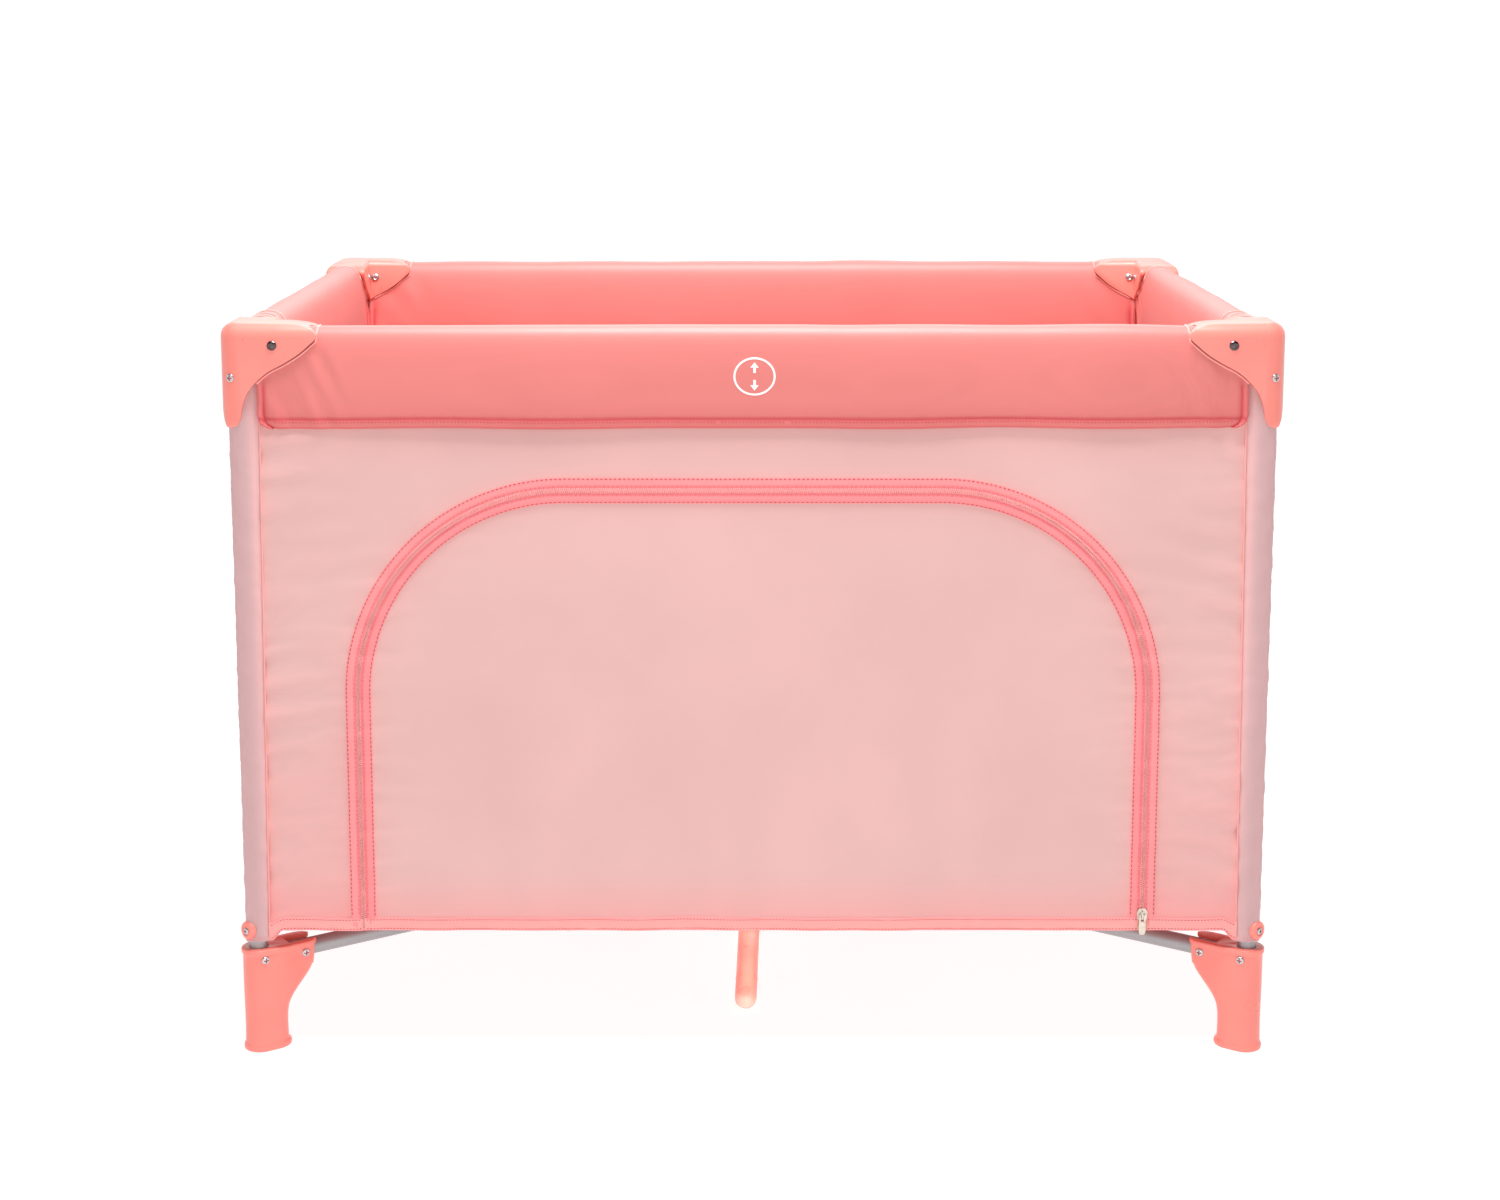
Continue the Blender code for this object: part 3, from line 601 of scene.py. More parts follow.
def mirrored(name, source, sign_x, sign_y):
    """A copy of a piece made for the +X +Y corner, at another corner."""
    mesh = source.data.copy()
    mesh.transform(Matrix.Diagonal((sign_x, sign_y, 1, 1)))
    if sign_x * sign_y < 0:
        mesh.flip_normals()
    copy = bpy.data.objects.new(name, mesh)
    bpy.context.scene.collection.objects.link(copy)
    return copy


def at_corner(base, source, corner):
    """A piece made for the back right corner, or its mirrored copy at another corner."""
    return source if corner == "back_right" else mirrored(base + corner, source, *CORNERS[corner])


def spline(points, count):
    """A smooth curve through points, evenly spaced."""
    points = np.asarray(points, float)
    padded = np.concatenate([2 * points[:1] - points[1:2], points, 2 * points[-1:] - points[-2:-1]])
    fine = []
    for i in range(len(points) - 1):
        a, b, c, d = padded[i:i + 4]
        t = np.linspace(0, 1, 24, endpoint=False)[:, None]
        fine.append(0.5 * ((2 * b) + (c - a) * t + (2 * a - 5 * b + 4 * c - d) * t ** 2
                           + (3 * b - a - 3 * c + d) * t ** 3))
    fine = np.concatenate(fine + [points[-1:]])
    return along_path(fine, np.linspace(0, distances(fine)[-1], count))


# ---------------------------------------------------------------- moulded corners

def arc(centre, radius, start, end, steps):
    angles = [math.radians(start + (end - start) * i / steps) for i in range(steps + 1)]
    return [(centre[0] + radius * math.cos(a), centre[1] + radius * math.sin(a)) for a in angles]


BRACKET_REACH = size_of("top_bracket_back_right").x
BRACKET_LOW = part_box("top_bracket_back_right")[0][2]
PLATE = 0.0035
CHANNEL_HALF = HALF_LENGTH - RAIL_X - PLATE
BRACKET_TIP = (0.0940, 0.7420)
BRACKET_TOE = (0.0215, 0.6720)
NEAR = 1e-4


def bracket_edge():
    """A bracket arm's concave lower edge, from tip to toe: distance in from the corner, height."""
    return spline([BRACKET_TIP, (0.0800, 0.7300), (0.0650, 0.7205), (0.0500, 0.7125), (0.0400, 0.7045),
                   (0.0302, 0.6940), (0.0245, 0.6830), BRACKET_TOE], 40)


def channel(middle, axis, far):
    """The room for a rail and its cover in a bracket arm: straight sides under a rounded roof."""
    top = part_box("rail_cover_back")[1][2] + 0.0004
    radius = 0.0165
    roof = arc((CHANNEL_HALF - radius, top - radius), radius, 0, 90, 8)
    roof += arc((radius - CHANNEL_HALF, top - radius), radius, 90, 180, 8)
    outline = [(CHANNEL_HALF, 0.6)] + roof + [(-CHANNEL_HALF, 0.6)]
    return prism([(middle + a, z) for a, z in outline], axis, 0.0, far - 0.036)


def top_edges(shape, inside):
    """Edges of a shape's top face whose two ends both pass a test."""
    return [e for e in shape.edges if all(v.co.z > HEIGHT - NEAR and inside(v.co) for v in e.verts)]


def rounded_block():
    """A bracket's outer block, rounded at its upright corner, its rim and its inner top edges."""
    near_x, near_y = HALF_LENGTH - BRACKET_REACH, HALF_WIDTH - BRACKET_REACH
    outer = block((near_x, near_y, BRACKET_LOW - 0.002), (HALF_LENGTH, HALF_WIDTH, HEIGHT))
    upright = [e for e in outer.edges
               if all(v.co.x > HALF_LENGTH - NEAR and v.co.y > HALF_WIDTH - NEAR for v in e.verts)]
    bmesh.ops.bevel(outer, geom=upright, offset=0.020, segments=10, profile=0.5, affect="EDGES")
    rim = [e for e in top_edges(outer, lambda co: True)
           if any(v.co.x >= near_x + NEAR for v in e.verts) and any(v.co.y >= near_y + NEAR for v in e.verts)]
    bmesh.ops.bevel(outer, geom=rim, offset=0.0135, segments=8, profile=0.5, affect="EDGES")
    depth = HALF_LENGTH - (RAIL_X - CHANNEL_HALF - 0.003)
    inner_x, inner_y = HALF_LENGTH - depth, HALF_WIDTH - depth
    shape = combine(outer, block((0, 0, 0.6), (inner_x, inner_y, 0.8)))
    inner = top_edges(shape, lambda co: (abs(co.x - inner_x) < NEAR and co.y < inner_y + NEAR)
                      or (abs(co.y - inner_y) < NEAR and co.x < inner_x + NEAR))
    bmesh.ops.bevel(shape, geom=inner, offset=0.0085, segments=6, profile=0.5, affect="EDGES")
    return shape


def bracket_outline():
    """A bracket arm's side view: distance in from the corner, height."""
    crown = spline([(0.045, HEIGHT), (0.062, HEIGHT - 0.0002), (0.074, HEIGHT - 0.0012),
                    (0.084, HEIGHT - 0.0029), (0.0918, HEIGHT - 0.0056), (0.0965, HEIGHT - 0.0092),
                    (0.0977, HEIGHT - 0.0125), (0.0966, HEIGHT - 0.0152), BRACKET_TIP], 30).tolist()
    toe = spline([BRACKET_TOE, (0.0200, 0.6640), (0.0150, BRACKET_LOW + 0.0012), (0.0108, BRACKET_LOW),
                  (0.0066, BRACKET_LOW + 0.0014), (0.0026, 0.6640), (0.0006, 0.6760)], 22)
    outline = [(-0.002, HEIGHT + 0.001), (0.044, HEIGHT + 0.001)] + crown[1:-1] + bracket_edge().tolist()
    return outline + toe[1:].tolist() + [(-0.002, 0.700)]


def socket(centre, low, high):
    """The room for a leg tube."""
    radius = LEG_RADIUS + 0.0003
    height = high - low
    return as_shape(*lathe([(0, 0), (radius, 0), (radius, height), (0, height)], 32, (*centre, low), UP))


def build_brackets():
    shape = rounded_block()
    for axis, side, far in ((1, HALF_LENGTH, HALF_WIDTH), (0, HALF_WIDTH, HALF_LENGTH)):
        profile = [(side - a, z) for a, z in bracket_outline()]
        shape = combine(shape, prism(profile, axis, 0.0, far + 0.01), "INTERSECT")
    shape = combine(shape, channel(RAIL_Y, 0, HALF_LENGTH))
    shape = combine(shape, channel(RAIL_X, 1, HALF_WIDTH))
    shape = combine(shape, socket((LEG_X, LEG_Y), 0.6, LEG_HIGH + 0.0003))
    first = from_shape("bracket_back_right", shape, "coral_plastic", 42, bevel=0.0011, segments=3)
    for corner in CORNERS:
        piece = at_corner("bracket_", first, corner)
        attach(piece, "leg_" + corner, "top_bracket_" + corner)


def foot_ring(height, radius, nose, steps=14):
    """A foot's section at a height: round about the leg and again at its nose, a distance inward."""
    outline = arc((0, 0), radius, 90, 270, steps) + arc((nose, 0), radius, -90, 90, steps)
    return [(x, y, height) for x, y in outline]


def build_feet():
    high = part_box("foot_back_right")[1][2]
    radius = 0.0165
    lip = radius + 0.0015
    levels = [
        (0.0, lip - 0.0014, 0.0140), (0.0008, lip - 0.0003, 0.0140), (0.0020, lip, 0.0140),
        (0.0045, lip, 0.0140),
        (0.0058, lip - 0.0004, 0.0136), (0.0072, radius + 0.0002, 0.0130), (0.0090, radius - 0.0003, 0.0128),
        (0.025, radius - 0.0005, 0.0127), (0.035, radius - 0.0005, 0.0131), (0.043, radius - 0.0004, 0.0145),
        (0.049, radius - 0.0003, 0.0170), (0.055, radius - 0.0002, 0.0208), (0.061, radius - 0.0001, 0.0255),
        (0.067, radius, 0.0308), (0.073, radius, 0.0359), (0.0770, radius, 0.0389), (0.0800, radius, 0.0406),
        (0.0822, radius, 0.0412), (0.0832, radius, 0.0432), (0.0930, radius, 0.0444),
        (0.1035, radius, 0.0450),
        (0.1045, lip - 0.0004, 0.0450), (0.1056, lip, 0.0450), (high - 0.0014, lip, 0.0450),
        (high - 0.0004, lip - 0.0005, 0.0450), (high, lip - 0.0014, 0.0450),
    ]
    shape = as_shape(*tube_rings(np.array([foot_ring(*level) for level in levels])))
    room = 0.0156
    fork = block((FOOT_PIVOT - room, -0.0102, BASE_Z - room), (0.09, 0.0102, 0.2))
    low = LEG_LOW - 0.0003
    shape = combine(combine(shape, fork), socket((0, 0), low, low + 0.2))
    out = diagonal("back_right")
    turn = Matrix.Rotation(math.atan2(-out.y, -out.x), 4, "Z")
    bmesh.ops.transform(shape, matrix=Matrix.Translation((LEG_X, LEG_Y, 0)) @ turn, verts=shape.verts)
    first = from_shape("foot_shell_back_right", shape, "coral_plastic", 42, bevel=0.0006)
    for corner in CORNERS:
        attach(at_corner("foot_shell_", first, corner), "leg_" + corner, "foot_" + corner)


def screw_mesh(radius):
    """A pan-head screw with a cross recess, its seat at the origin and facing +Z."""
    height = radius * 0.45
    dome = [(0, -0.0015), (radius * 0.6, -0.0015), (radius * 0.6, 0), (radius, 0), (radius, height * 0.35),
            (radius * 0.86, height * 0.75), (radius * 0.55, height), (0, height * 1.08)]
    shape = as_shape(*lathe(dome, 28, (0, 0, 0), UP))
    long = radius * 0.62
    thin = radius * 0.17
    for size in ((long, thin), (thin, long)):
        shape = combine(shape, block((-size[0], -size[1], -0.0002), (size[0], size[1], 1.0)))
    return shape


def rivet_mesh(radius):
    """A domed rivet head with a raised centre."""
    profile = [(0, -0.0015), (radius * 0.6, -0.0015), (radius * 0.6, 0), (radius, 0), (radius, radius * 0.16),
               (radius * 0.84, radius * 0.36), (radius * 0.55, radius * 0.48), (radius * 0.45, radius * 0.42),
               (radius * 0.22, radius * 0.42), (0, radius * 0.52)]
    return as_shape(*lathe(profile, 28, (0, 0, 0), UP))


def fastener(name, shape, seat, direction, body, look="steel"):
    """A copy of a screw or rivet on its seat, facing a direction."""
    copy = shape.copy()
    turn = Vector(direction).to_track_quat("Z", "Y").to_matrix().to_4x4()
    bmesh.ops.transform(copy, matrix=Matrix.Translation(Vector(seat)) @ turn, verts=copy.verts)
    attach(from_shape(name, copy, look, 30), body)


def build_fasteners():
    big_rivet = rivet_mesh(0.0048)
    small_screw = screw_mesh(0.0042)
    for corner, (sign_x, sign_y) in CORNERS.items():
        body = "leg_" + corner
        side_x = Vector((sign_x * RAIL_PIVOT_X, 0, RAIL_Z))
        side_y = Vector((0, sign_y * RAIL_PIVOT_Y, RAIL_Z))
        inner = HALF_WIDTH - (RAIL_Y - CHANNEL_HALF - 0.003)
        for label, level, facing in (("outer", HALF_WIDTH, 1), ("inner", HALF_WIDTH - inner, -1)):
            look = "rivet_steel" if facing > 0 else "steel"
            seat = Vector((side_x.x, sign_y * level, RAIL_Z))
            fastener(f"rivet_x_{label}_{corner}", big_rivet, seat, (0, facing * sign_y, 0), body, look)
            seat = Vector((sign_x * (level + HALF_LENGTH - HALF_WIDTH), side_y.y, RAIL_Z))
            fastener(f"rivet_y_{label}_{corner}", big_rivet, seat, (facing * sign_x, 0, 0), body, look)
        out = diagonal(corner)
        rounded = Vector((sign_x * 0.42, sign_y * 0.91, 0)).normalized()
        corner_axis = Vector((sign_x * (HALF_LENGTH - 0.020), sign_y * (HALF_WIDTH - 0.020), 0.706))
        fastener("corner_screw_" + corner, small_screw, corner_axis + rounded * 0.0199, rounded, body)
        across = UP.cross(out)
        for facing in (-1, 1):
            side = "a" if facing < 0 else "b"
            for label, inward in (("leg", 0.0), ("arm", FOOT_PIVOT)):
                place = LEG[corner] - out * inward + across * (facing * 0.0164)
                place.z = BASE_Z + (0.0 if label == "arm" else 0.001)
                fastener(f"foot_screw_{label}_{side}_{corner}", small_screw, place, across * facing, body)
        low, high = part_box("leg_cap_" + corner)
        turned = math.radians(15 if sign_x * sign_y > 0 else -15)
        facing_out = Matrix.Rotation(turned, 3, "Z") @ out
        seat = LEG[corner] + facing_out * 0.0121
        seat.z = (low[2] + high[2]) / 2
        profile = [(0, -0.0020), (0.0093, -0.0020), (0.0097, 0.0004), (0.0097, 0.0018), (0.0089, 0.0030),
                   (0.0068, 0.0038), (0.0054, 0.0040), (0.0048, 0.0032), (0, 0.0032)]
        cap = make("sleeve_button_" + corner, *lathe(profile, 36, seat, facing_out), "coral_plastic")
        attach(cap, body, "leg_cap_" + corner)
        fastener("button_screw_" + corner, screw_mesh(0.0036), seat + facing_out * 0.0032, facing_out, body)


# ---------------------------------------------------------------- tubes

def round_tube(name, start, end, radius, wall, body, node, sides=36):
    """A round tube with rolled ends and a recess in each."""
    start, end = Vector(start), Vector(end)
    length = (end - start).length
    inner = radius - wall
    lip = 0.0004
    depth = min(0.02, length / 4)
    profile = [(0, depth), (inner, depth), (inner, lip), (inner + lip, 0), (radius - lip, 0), (radius, lip),
               (radius, length - lip), (radius - lip, length), (inner + lip, length), (inner, length - lip),
               (inner, length - depth), (0, length - depth)]
    piece = make(name, *lathe(profile, sides, start, end - start), "grey_tube")
    attach(piece, body, node)


def build_tubes():
    overrun = 0.012
    for corner in CORNERS:
        base = Vector((LEG[corner].x, LEG[corner].y, 0))
        round_tube("leg_" + corner, base + UP * LEG_LOW, base + UP * LEG_HIGH, LEG_RADIUS, 0.0014,
                   "leg_" + corner, "leg_tube_" + corner)
        out = diagonal(corner)
        near = out * (HUB_PIVOT - overrun) + UP * BASE_Z
        far = out * (LEG_REACH - FOOT_PIVOT + overrun) + UP * BASE_Z
        round_tube("arm_" + corner, near, far, TUBE_RADIUS, 0.0014, "arm_" + corner, "base_arm_" + corner)
    for side, (first, second, along, out, _) in SIDES.items():
        pin = LOCK_PIN_X if is_long(side) else LOCK_PIN_Y
        pivot = RAIL_PIVOT_X if is_long(side) else RAIL_PIVOT_Y
        middle = out * rail_line(side) + UP * RAIL_Z
        for corner, sign in ((first, -1), (second, 1)):
            name = f"rail_{side}_{corner}"
            start = middle + along * (sign * (pivot + overrun))
            end = middle + along * (sign * (pin - overrun))
            round_tube(f"top_tube_{side}_{corner}", start, end, TUBE_RADIUS, 0.0014, name, name)


def build_centre_legs():
    for name, side in (("front", -1), ("back", 1)):
        node = "centre_leg_boot_" + name
        low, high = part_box(node)
        pivot = Vector(joint[f"centre_leg_{name}_turn"]["pos_m"])
        radius = 0.012
        outer = low if side < 0 else high
        tip = Vector((outer[0] - side * radius, outer[1] - side * radius, low[2] + radius))
        along = (tip - pivot).normalized()
        length = (tip - pivot).length
        round_tube("strut_" + name, pivot - along * 0.010, tip - along * 0.006, 0.008, 0.0014,
                   "centre_leg_" + name, "centre_leg_tube_" + name)
        rim = length - 0.120
        profile = [(0, length - 0.0055), (0.0083, length - 0.0055), (0.0083, rim + 0.001), (0.0090, rim),
                   (0.0118, rim), (0.0126, rim + 0.0008), (0.0126, rim + 0.0040), (0.0119, rim + 0.0050)]
        profile += [(0.0119, length - 0.030), (0.0122, length - 0.028), (0.0119, length - 0.026)]
        end = length - 0.0009
        tip_angles = [math.radians(a) for a in range(0, 90, 10)]
        profile += [(radius * math.cos(a) ** 0.72, end + radius * math.sin(a) ** 0.72) for a in tip_angles]
        profile += [(0, end + radius)]
        boot = make("boot_" + name, *lathe(profile, 40, pivot, along), "coral_plastic")
        attach(boot, "centre_leg_" + name, node)


def dress_cad_nodes():
    """Small hard parts keep their CAD solid and get a finish and softened edges."""
    looks = {"hub_housing": "hub_plastic", "hub_cover": "coral_plastic", "zip_slider": "nickel",
             "zip_stop": "nickel", "zip_pull": "nickel"}
    for side in SIDES:
        looks["rail_lock_" + side] = "hub_plastic"
        looks["lock_button_" + side] = "coral_plastic"
    for node, look in looks.items():
        piece = frame["nodes"][node]
        piece.data.materials.clear()
        piece.data.materials.append(LOOKS[look])
        round_edges(piece, 0.0002 if node.startswith("zip") else 0.0006)


# ---------------------------------------------------------------- rail covers

COVER_THICKNESS = 0.0020
HEM_LINE = 0.6645
SPLIT = {"long": 0.035, "short": 0.0150}


def in_side(side, along, out, up):
    """Points from a side's own axes (along it, outward from its rail, up) to the row frame."""
    _, _, direction, normal, _ = SIDES[side]
    origin = np.array(normal) * rail_line(side)
    along, out, up = np.broadcast_arrays(along, out, up)
    return (origin + along[..., None] * np.array(direction) + out[..., None] * np.array(normal)
            + up[..., None] * np.array(UP))


def cover_section(count):
    """A cover's outer section (out, up), from the foot of its inner skirt over the rail to its outer foot."""
    half = [(0.0171, 0.6550), (0.0182, 0.6660), (0.0189, 0.6880), (0.0191, 0.7080), (0.0187, 0.7270),
            (0.0172, 0.7415), (0.0140, 0.7506), (0.0082, 0.7554), (0.0, 0.7568)]
    return spline([(-n, z) for n, z in half] + half[-2::-1], count)


def cover_reach(side, out, up):
    """How far a cover's end lies from the middle of its side."""
    end = cover_end(side)
    outer = np.interp(up, [0.6545, 0.6562, 0.6610, 0.6680, 0.7000, 0.7350],
                      [-0.003, 0.003, 0.0080, 0.0096, 0.0086, 0])
    inner = np.interp(up, [0.6545, 0.6580, 0.6650, 0.7350], [-0.001, 0.0015, 0.0024, 0.0])
    share = smoothstep(out, -0.010, 0.010)
    return end + inner + (outer - inner) * share


def cover_relief(side, along, out, up):
    """How far the padded cloth stands out of its section: puff, hem crease, gathers and soft creases."""
    end = cover_end(side)
    reach = np.abs(along) / end
    seed = seed_of(side) + 40
    height = (up - COVER_LOW) / 0.1
    puff = 0.0009 * np.sin(np.clip(height, 0, 1) * math.pi)
    crease = -0.0010 * bell(up - HEM_LINE, 0.0013) + 0.0007 * smoothstep(HEM_LINE - up, 0.001, 0.004)
    away = smoothstep(np.abs(along), SPLIT["long"], 0.13 if is_long(side) else 0.09)
    soft = 0.0011 * ripples(along, up * 0.6, 0.16, seed) * away
    gathers = 0.0004 * ripples(along, up * 0.2, 0.011, seed + 5, 5) * bell(up - HEM_LINE, 0.006) * away
    pulled = 0.0013 * ripples(along + up * 0.5, up * 0.15, 0.024, seed + 9, 5) * smoothstep(reach, 0.78, 0.95)
    gap = cover_reach(side, out, up) - np.abs(along)
    fold = 0.0014 * bell(gap - 0.0022, 0.0020) - 0.0017 * bell(gap - 0.0068, 0.0020)
    fold = fold * smoothstep(0.715 - up, 0.0, 0.02)
    return puff + crease + soft + gathers + fold + pulled * smoothstep(0.752 - up, 0.0, 0.03)


def cover_point(side, along, section, normals, depth=0.0):
    """Points of a cover's surface, at a depth under it."""
    out, up = section[..., 0], section[..., 1]
    relief = cover_relief(side, along, out, up) - depth
    seed = seed_of(side) + 70
    wave = 0.0010 * ripples(along, up * 0, 0.21, seed) * smoothstep(0.69 - up, 0.0, 0.03)
    wave = wave * smoothstep(np.abs(along), SPLIT["long"], 0.12)
    end = cover_end(side)
    crown = -0.0010 * (np.abs(along) / end) ** 2 * smoothstep(up, 0.70, 0.755)
    return in_side(side, along, out + normals[..., 0] * relief, up + normals[..., 1] * relief + wave + crown)


def outer_face(side, along, up, stand=0.0):
    """Points on a cover's outer face at a height, standing a little proud."""
    section = cover_section(400)
    foot = section[200:]
    out = np.interp(up, foot[::-1, 1], foot[::-1, 0])
    surface = np.stack([out, up], -1)
    normals = np.zeros_like(surface)
    normals[..., 0] = 1
    return cover_point(side, along, surface, normals, -stand)


def left_normals(line):
    """Unit normals on the left of a flat line."""
    tangent = np.gradient(line, axis=0)
    return unit(np.stack([-tangent[:, 1], tangent[:, 0]], -1))


def build_cover(side, label, start, stop, body, columns):
    section = cover_section(72)
    normals = left_normals(section)
    limit = cover_reach(side, section[:, 0], section[:, 1])
    ends = []
    for bound in (start, stop):
        ends.append(np.full(len(section), bound) if abs(bound) < 0.1 else math.copysign(1, bound) * limit)
    share = np.linspace(0, 1, columns)[:, None]
    along = ends[0] * (1 - share) + ends[1] * share
    grid = np.broadcast_to(section, (columns, *section.shape))
    facing = np.broadcast_to(normals, grid.shape)
    front = cover_point(side, along, grid, facing)
    inside = cover_point(side, along, grid, facing, COVER_THICKNESS)
    up = grid[..., 1]
    end = cover_end(side)
    reach = np.abs(along) / end
    # The cover's second colour: lines paints shade in the hem crease and draws a dark line along the lower
    # edge; band darkens the strip below the hem line; folded, shade and rim are painted shade in the end
    # folds, above the hem, toward the ends and along the end edge.
    lines = 0.9 * bell(up - HEM_LINE, 0.0012) + 0.55 * smoothstep(COVER_LOW + 0.0030 - up, 0, 0.002)
    band = 0.20 * smoothstep(HEM_LINE - up, 0.0, 0.0010) * (1 - 0.7 * smoothstep(reach, 0.3, 0.9))
    gap = cover_reach(side, grid[..., 0], up) - np.abs(along)
    skirt = smoothstep(0.712 - up, 0.0, 0.02)
    # painted shade in the fold near each end
    folded = 0.95 * bell(gap - 0.0068, 0.0018) * skirt
    shade = 0.12 * bell(up - 0.669, 0.009) + 0.10 * smoothstep(reach, 0.9, 1.0)
    # painted shadow along the cover's end edge
    rim = 0.5 * bell(np.maximum(gap, 0), 0.0013) * skirt
    tint = np.clip(lines + band + folded + shade + rim, 0, 1)
    piece = make(f"cover_{side}_{label}", *shell(front, inside), "rail_fabric", 50, np.tile(tint.ravel(), 2))
    attach(piece, body)
    fold_cover(piece, label)
    return piece


def fold_cover(piece, label):
    """A cover's end piece gets its own copy of its mesh."""
    if label != "middle":
        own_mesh(piece)


def build_covers():
    for side, (first, second, _, _, _) in SIDES.items():
        split = SPLIT["long"] if is_long(side) else SPLIT["short"]
        end = cover_end(side)
        parts = ((first, -end, -split, 150), ("middle", -split, split, 26), (second, split, end, 150))
        for label, start, stop, columns in parts:
            body = "lock_" + side if label == "middle" else f"rail_{side}_{label}"
            columns = columns if is_long(side) else columns * 2 // 3
            piece = build_cover(side, label, start, stop, body, columns)
            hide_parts("rail_cover_" + side)
            seam_start, seam_stop = np.clip((start, stop), 0.004 - end, end - 0.004)
            path = np.linspace(seam_start + 0.0004, seam_stop - 0.0004, 160)
            line = outer_face(side, path, np.full_like(path, HEM_LINE - 0.0032), 0.0001)
            name = f"cover_seam_{side}_{label}"
            seam = stitches(name, line, SIDES[side][3], "stitch_thread", 0.0036, 0.0026)
            attach(seam, body)
            fold_cover(seam, label)
            if label != "middle":
                build_piping(side, label, math.copysign(1, start + stop), body)


def build_piping(side, corner, sign, body):
    """The cord along the bracket's curved edge, over the rail and inside, and the short covers' tucks."""
    half = HALF_LENGTH if is_long(side) else HALF_WIDTH
    section = cover_section(400)

    def beside(height):
        """How far out the cover's section lies at a height."""
        return float(np.interp(height, section[:199:-1, 1], section[:199:-1, 0]))

    edge = bracket_edge() - (0.0, 0.0019)
    inward = edge[:, 0]
    outer = edge[(inward > 0.0365) & (inward < 0.0905)]
    inner = edge[(inward > 0.0520) & (inward < 0.0905)]
    over = np.linspace(1, -1, 42)[1:-1]
    top = section[np.round(np.interp(over, [-1, 1], [150, 250])).astype(int)]
    points = [(half - a, beside(z), z) for a, z in outer[::-1]]
    points += [(half - 0.0955 - 0.0030 * (1 - abs(t)), n, z) for t, (n, z) in zip(over, top)]
    points += [(half - a, -beside(z), z) for a, z in inner]
    curve = spline(points[::2] + points[-1:], 130)
    normals = unit(np.stack([curve[:, 1] / 0.0190, np.clip((curve[:, 2] - 0.738) / 0.0187, 0, 1)], -1))
    path = cover_point(side, sign * curve[:, 0], curve[:, 1:], normals, -0.0004)
    loops = [(f"cover_piping_{side}_{corner}", path, 0.0011)]
    arch = section[96:304:4]
    facing = left_normals(arch)
    tucks = (0.1080, 0.1220, 0.1440) if not is_long(side) and corner.startswith("front") else ()
    for row, tuck in enumerate(tucks):
        lean = tuck + 0.0022 * np.sin(np.linspace(0, math.pi, len(arch)))
        ring = cover_point(side, sign * (half - lean), arch, facing, -0.0003)
        loops.append((f"cover_tuck_{row}_{side}_{corner}", ring, 0.0010))
    for name, line, radius in loops:
        piece = make(name, *cord_mesh(line, radius), "hem_fabric", 60)
        attach(piece, body)
        fold_cover(piece, corner)


def flat_print(name, outer, inner=None):
    """A thin print on the front cover from outlines given as (along, up) about its centre."""
    outlines = [np.array(outline) + (0.0016, 0.7073) for outline in (outer, inner) if outline]
    layers = [outer_face("front", *outline.T, stand) for stand in (0.0, 0.00025) for outline in outlines]
    if inner:
        vertices, faces = tube_rings(np.stack([layers[k] for k in (0, 2, 3, 1)]), closed=True)
    else:
        vertices, faces = tube_rings(np.stack(layers))
    attach(make(name, vertices, faces, "print_white", 30), "lock_front")


def build_label():
    flat_print("label_ring", oval(0.0210, 0.0192, 72), oval(0.0190, 0.0172, 72))
    arrow = [(-0.0013, 0.0035), (0.0013, 0.0035), (0.0013, 0.0088), (0.0042, 0.0088), (0.0, 0.0142),
             (-0.0042, 0.0088), (-0.0013, 0.0088)]
    flat_print("label_arrow_up", arrow)
    flat_print("label_arrow_down", [(x, -z) for x, z in arrow][::-1])


# ---------------------------------------------------------------- walls, door and zip

SHEET_THICKNESS = 0.0010
ZIP_HALF = 0.0118
DOOR_GAP = 0.0011
HEM_TOP = 0.1432
SEAM_LOW = 0.0128
SEAM_SPREAD = 0.0067
SPRING = DOOR_TOP - DOOR_RADIUS
CORE = DOOR_HALF - DOOR_RADIUS


def wall_end(side, up):
    """Where a wall's seam with its sleeve lies, from the middle of the side."""
    half = LEG_X if is_long(side) else LEG_Y
    return half - np.interp(up, [WALL_LOW, WALL_HIGH], [SEAM_LOW, SEAM_LOW + SEAM_SPREAD])


def arch_distance(along, up):
    """Signed distance from the zip's centre line, positive outside the door."""
    return np.hypot(np.maximum(np.abs(along) - CORE, 0), np.maximum(up - SPRING, 0)) - DOOR_RADIUS


def wall_streaks(side, along, up):
    """The creases pulled from a wall's seams, between about -1 and 1."""
    seed = seed_of(side) * 11 + 200
    edge = wall_end(side, up) - np.abs(along)
    pulled = ripples(up + np.sign(along) * 0.16 * along, along * 0.22, 0.030, seed + 1, 6)
    return pulled * np.exp(-np.maximum(edge, 0) / 0.050)


def wall_relief(side, along, up):
    """How far a wall stands out: broad slackness and the pulled creases along its seams and its zip."""
    seed = seed_of(side) * 11 + 200
    edge = wall_end(side, up) - np.abs(along)
    broad = 0.0011 * ripples(along, up, 0.34, seed)
    fine = ripples(up - 0.10 * along, along * 0.1, 0.013, seed + 2, 5)
    fine = 0.0006 * fine * np.exp(-np.maximum(edge, 0) / 0.030)
    total = broad + 0.0019 * wall_streaks(side, along, up) + fine
    if side == "front":
        gap = np.abs(arch_distance(along, up)) - ZIP_HALF
        beside = np.exp(-np.maximum(gap, 0) / 0.022) * smoothstep(0.62 - up, 0.0, 0.2)
        total = total + 0.0009 * ripples(up, along * 0.15, 0.021, seed + 3, 6) * beside
        total = total + 0.0004 * bell(np.maximum(gap, 0), 0.004)
    fade = smoothstep(up, WALL_LOW, WALL_LOW + 0.02)
    return total * (0.25 + 0.75 * fade)


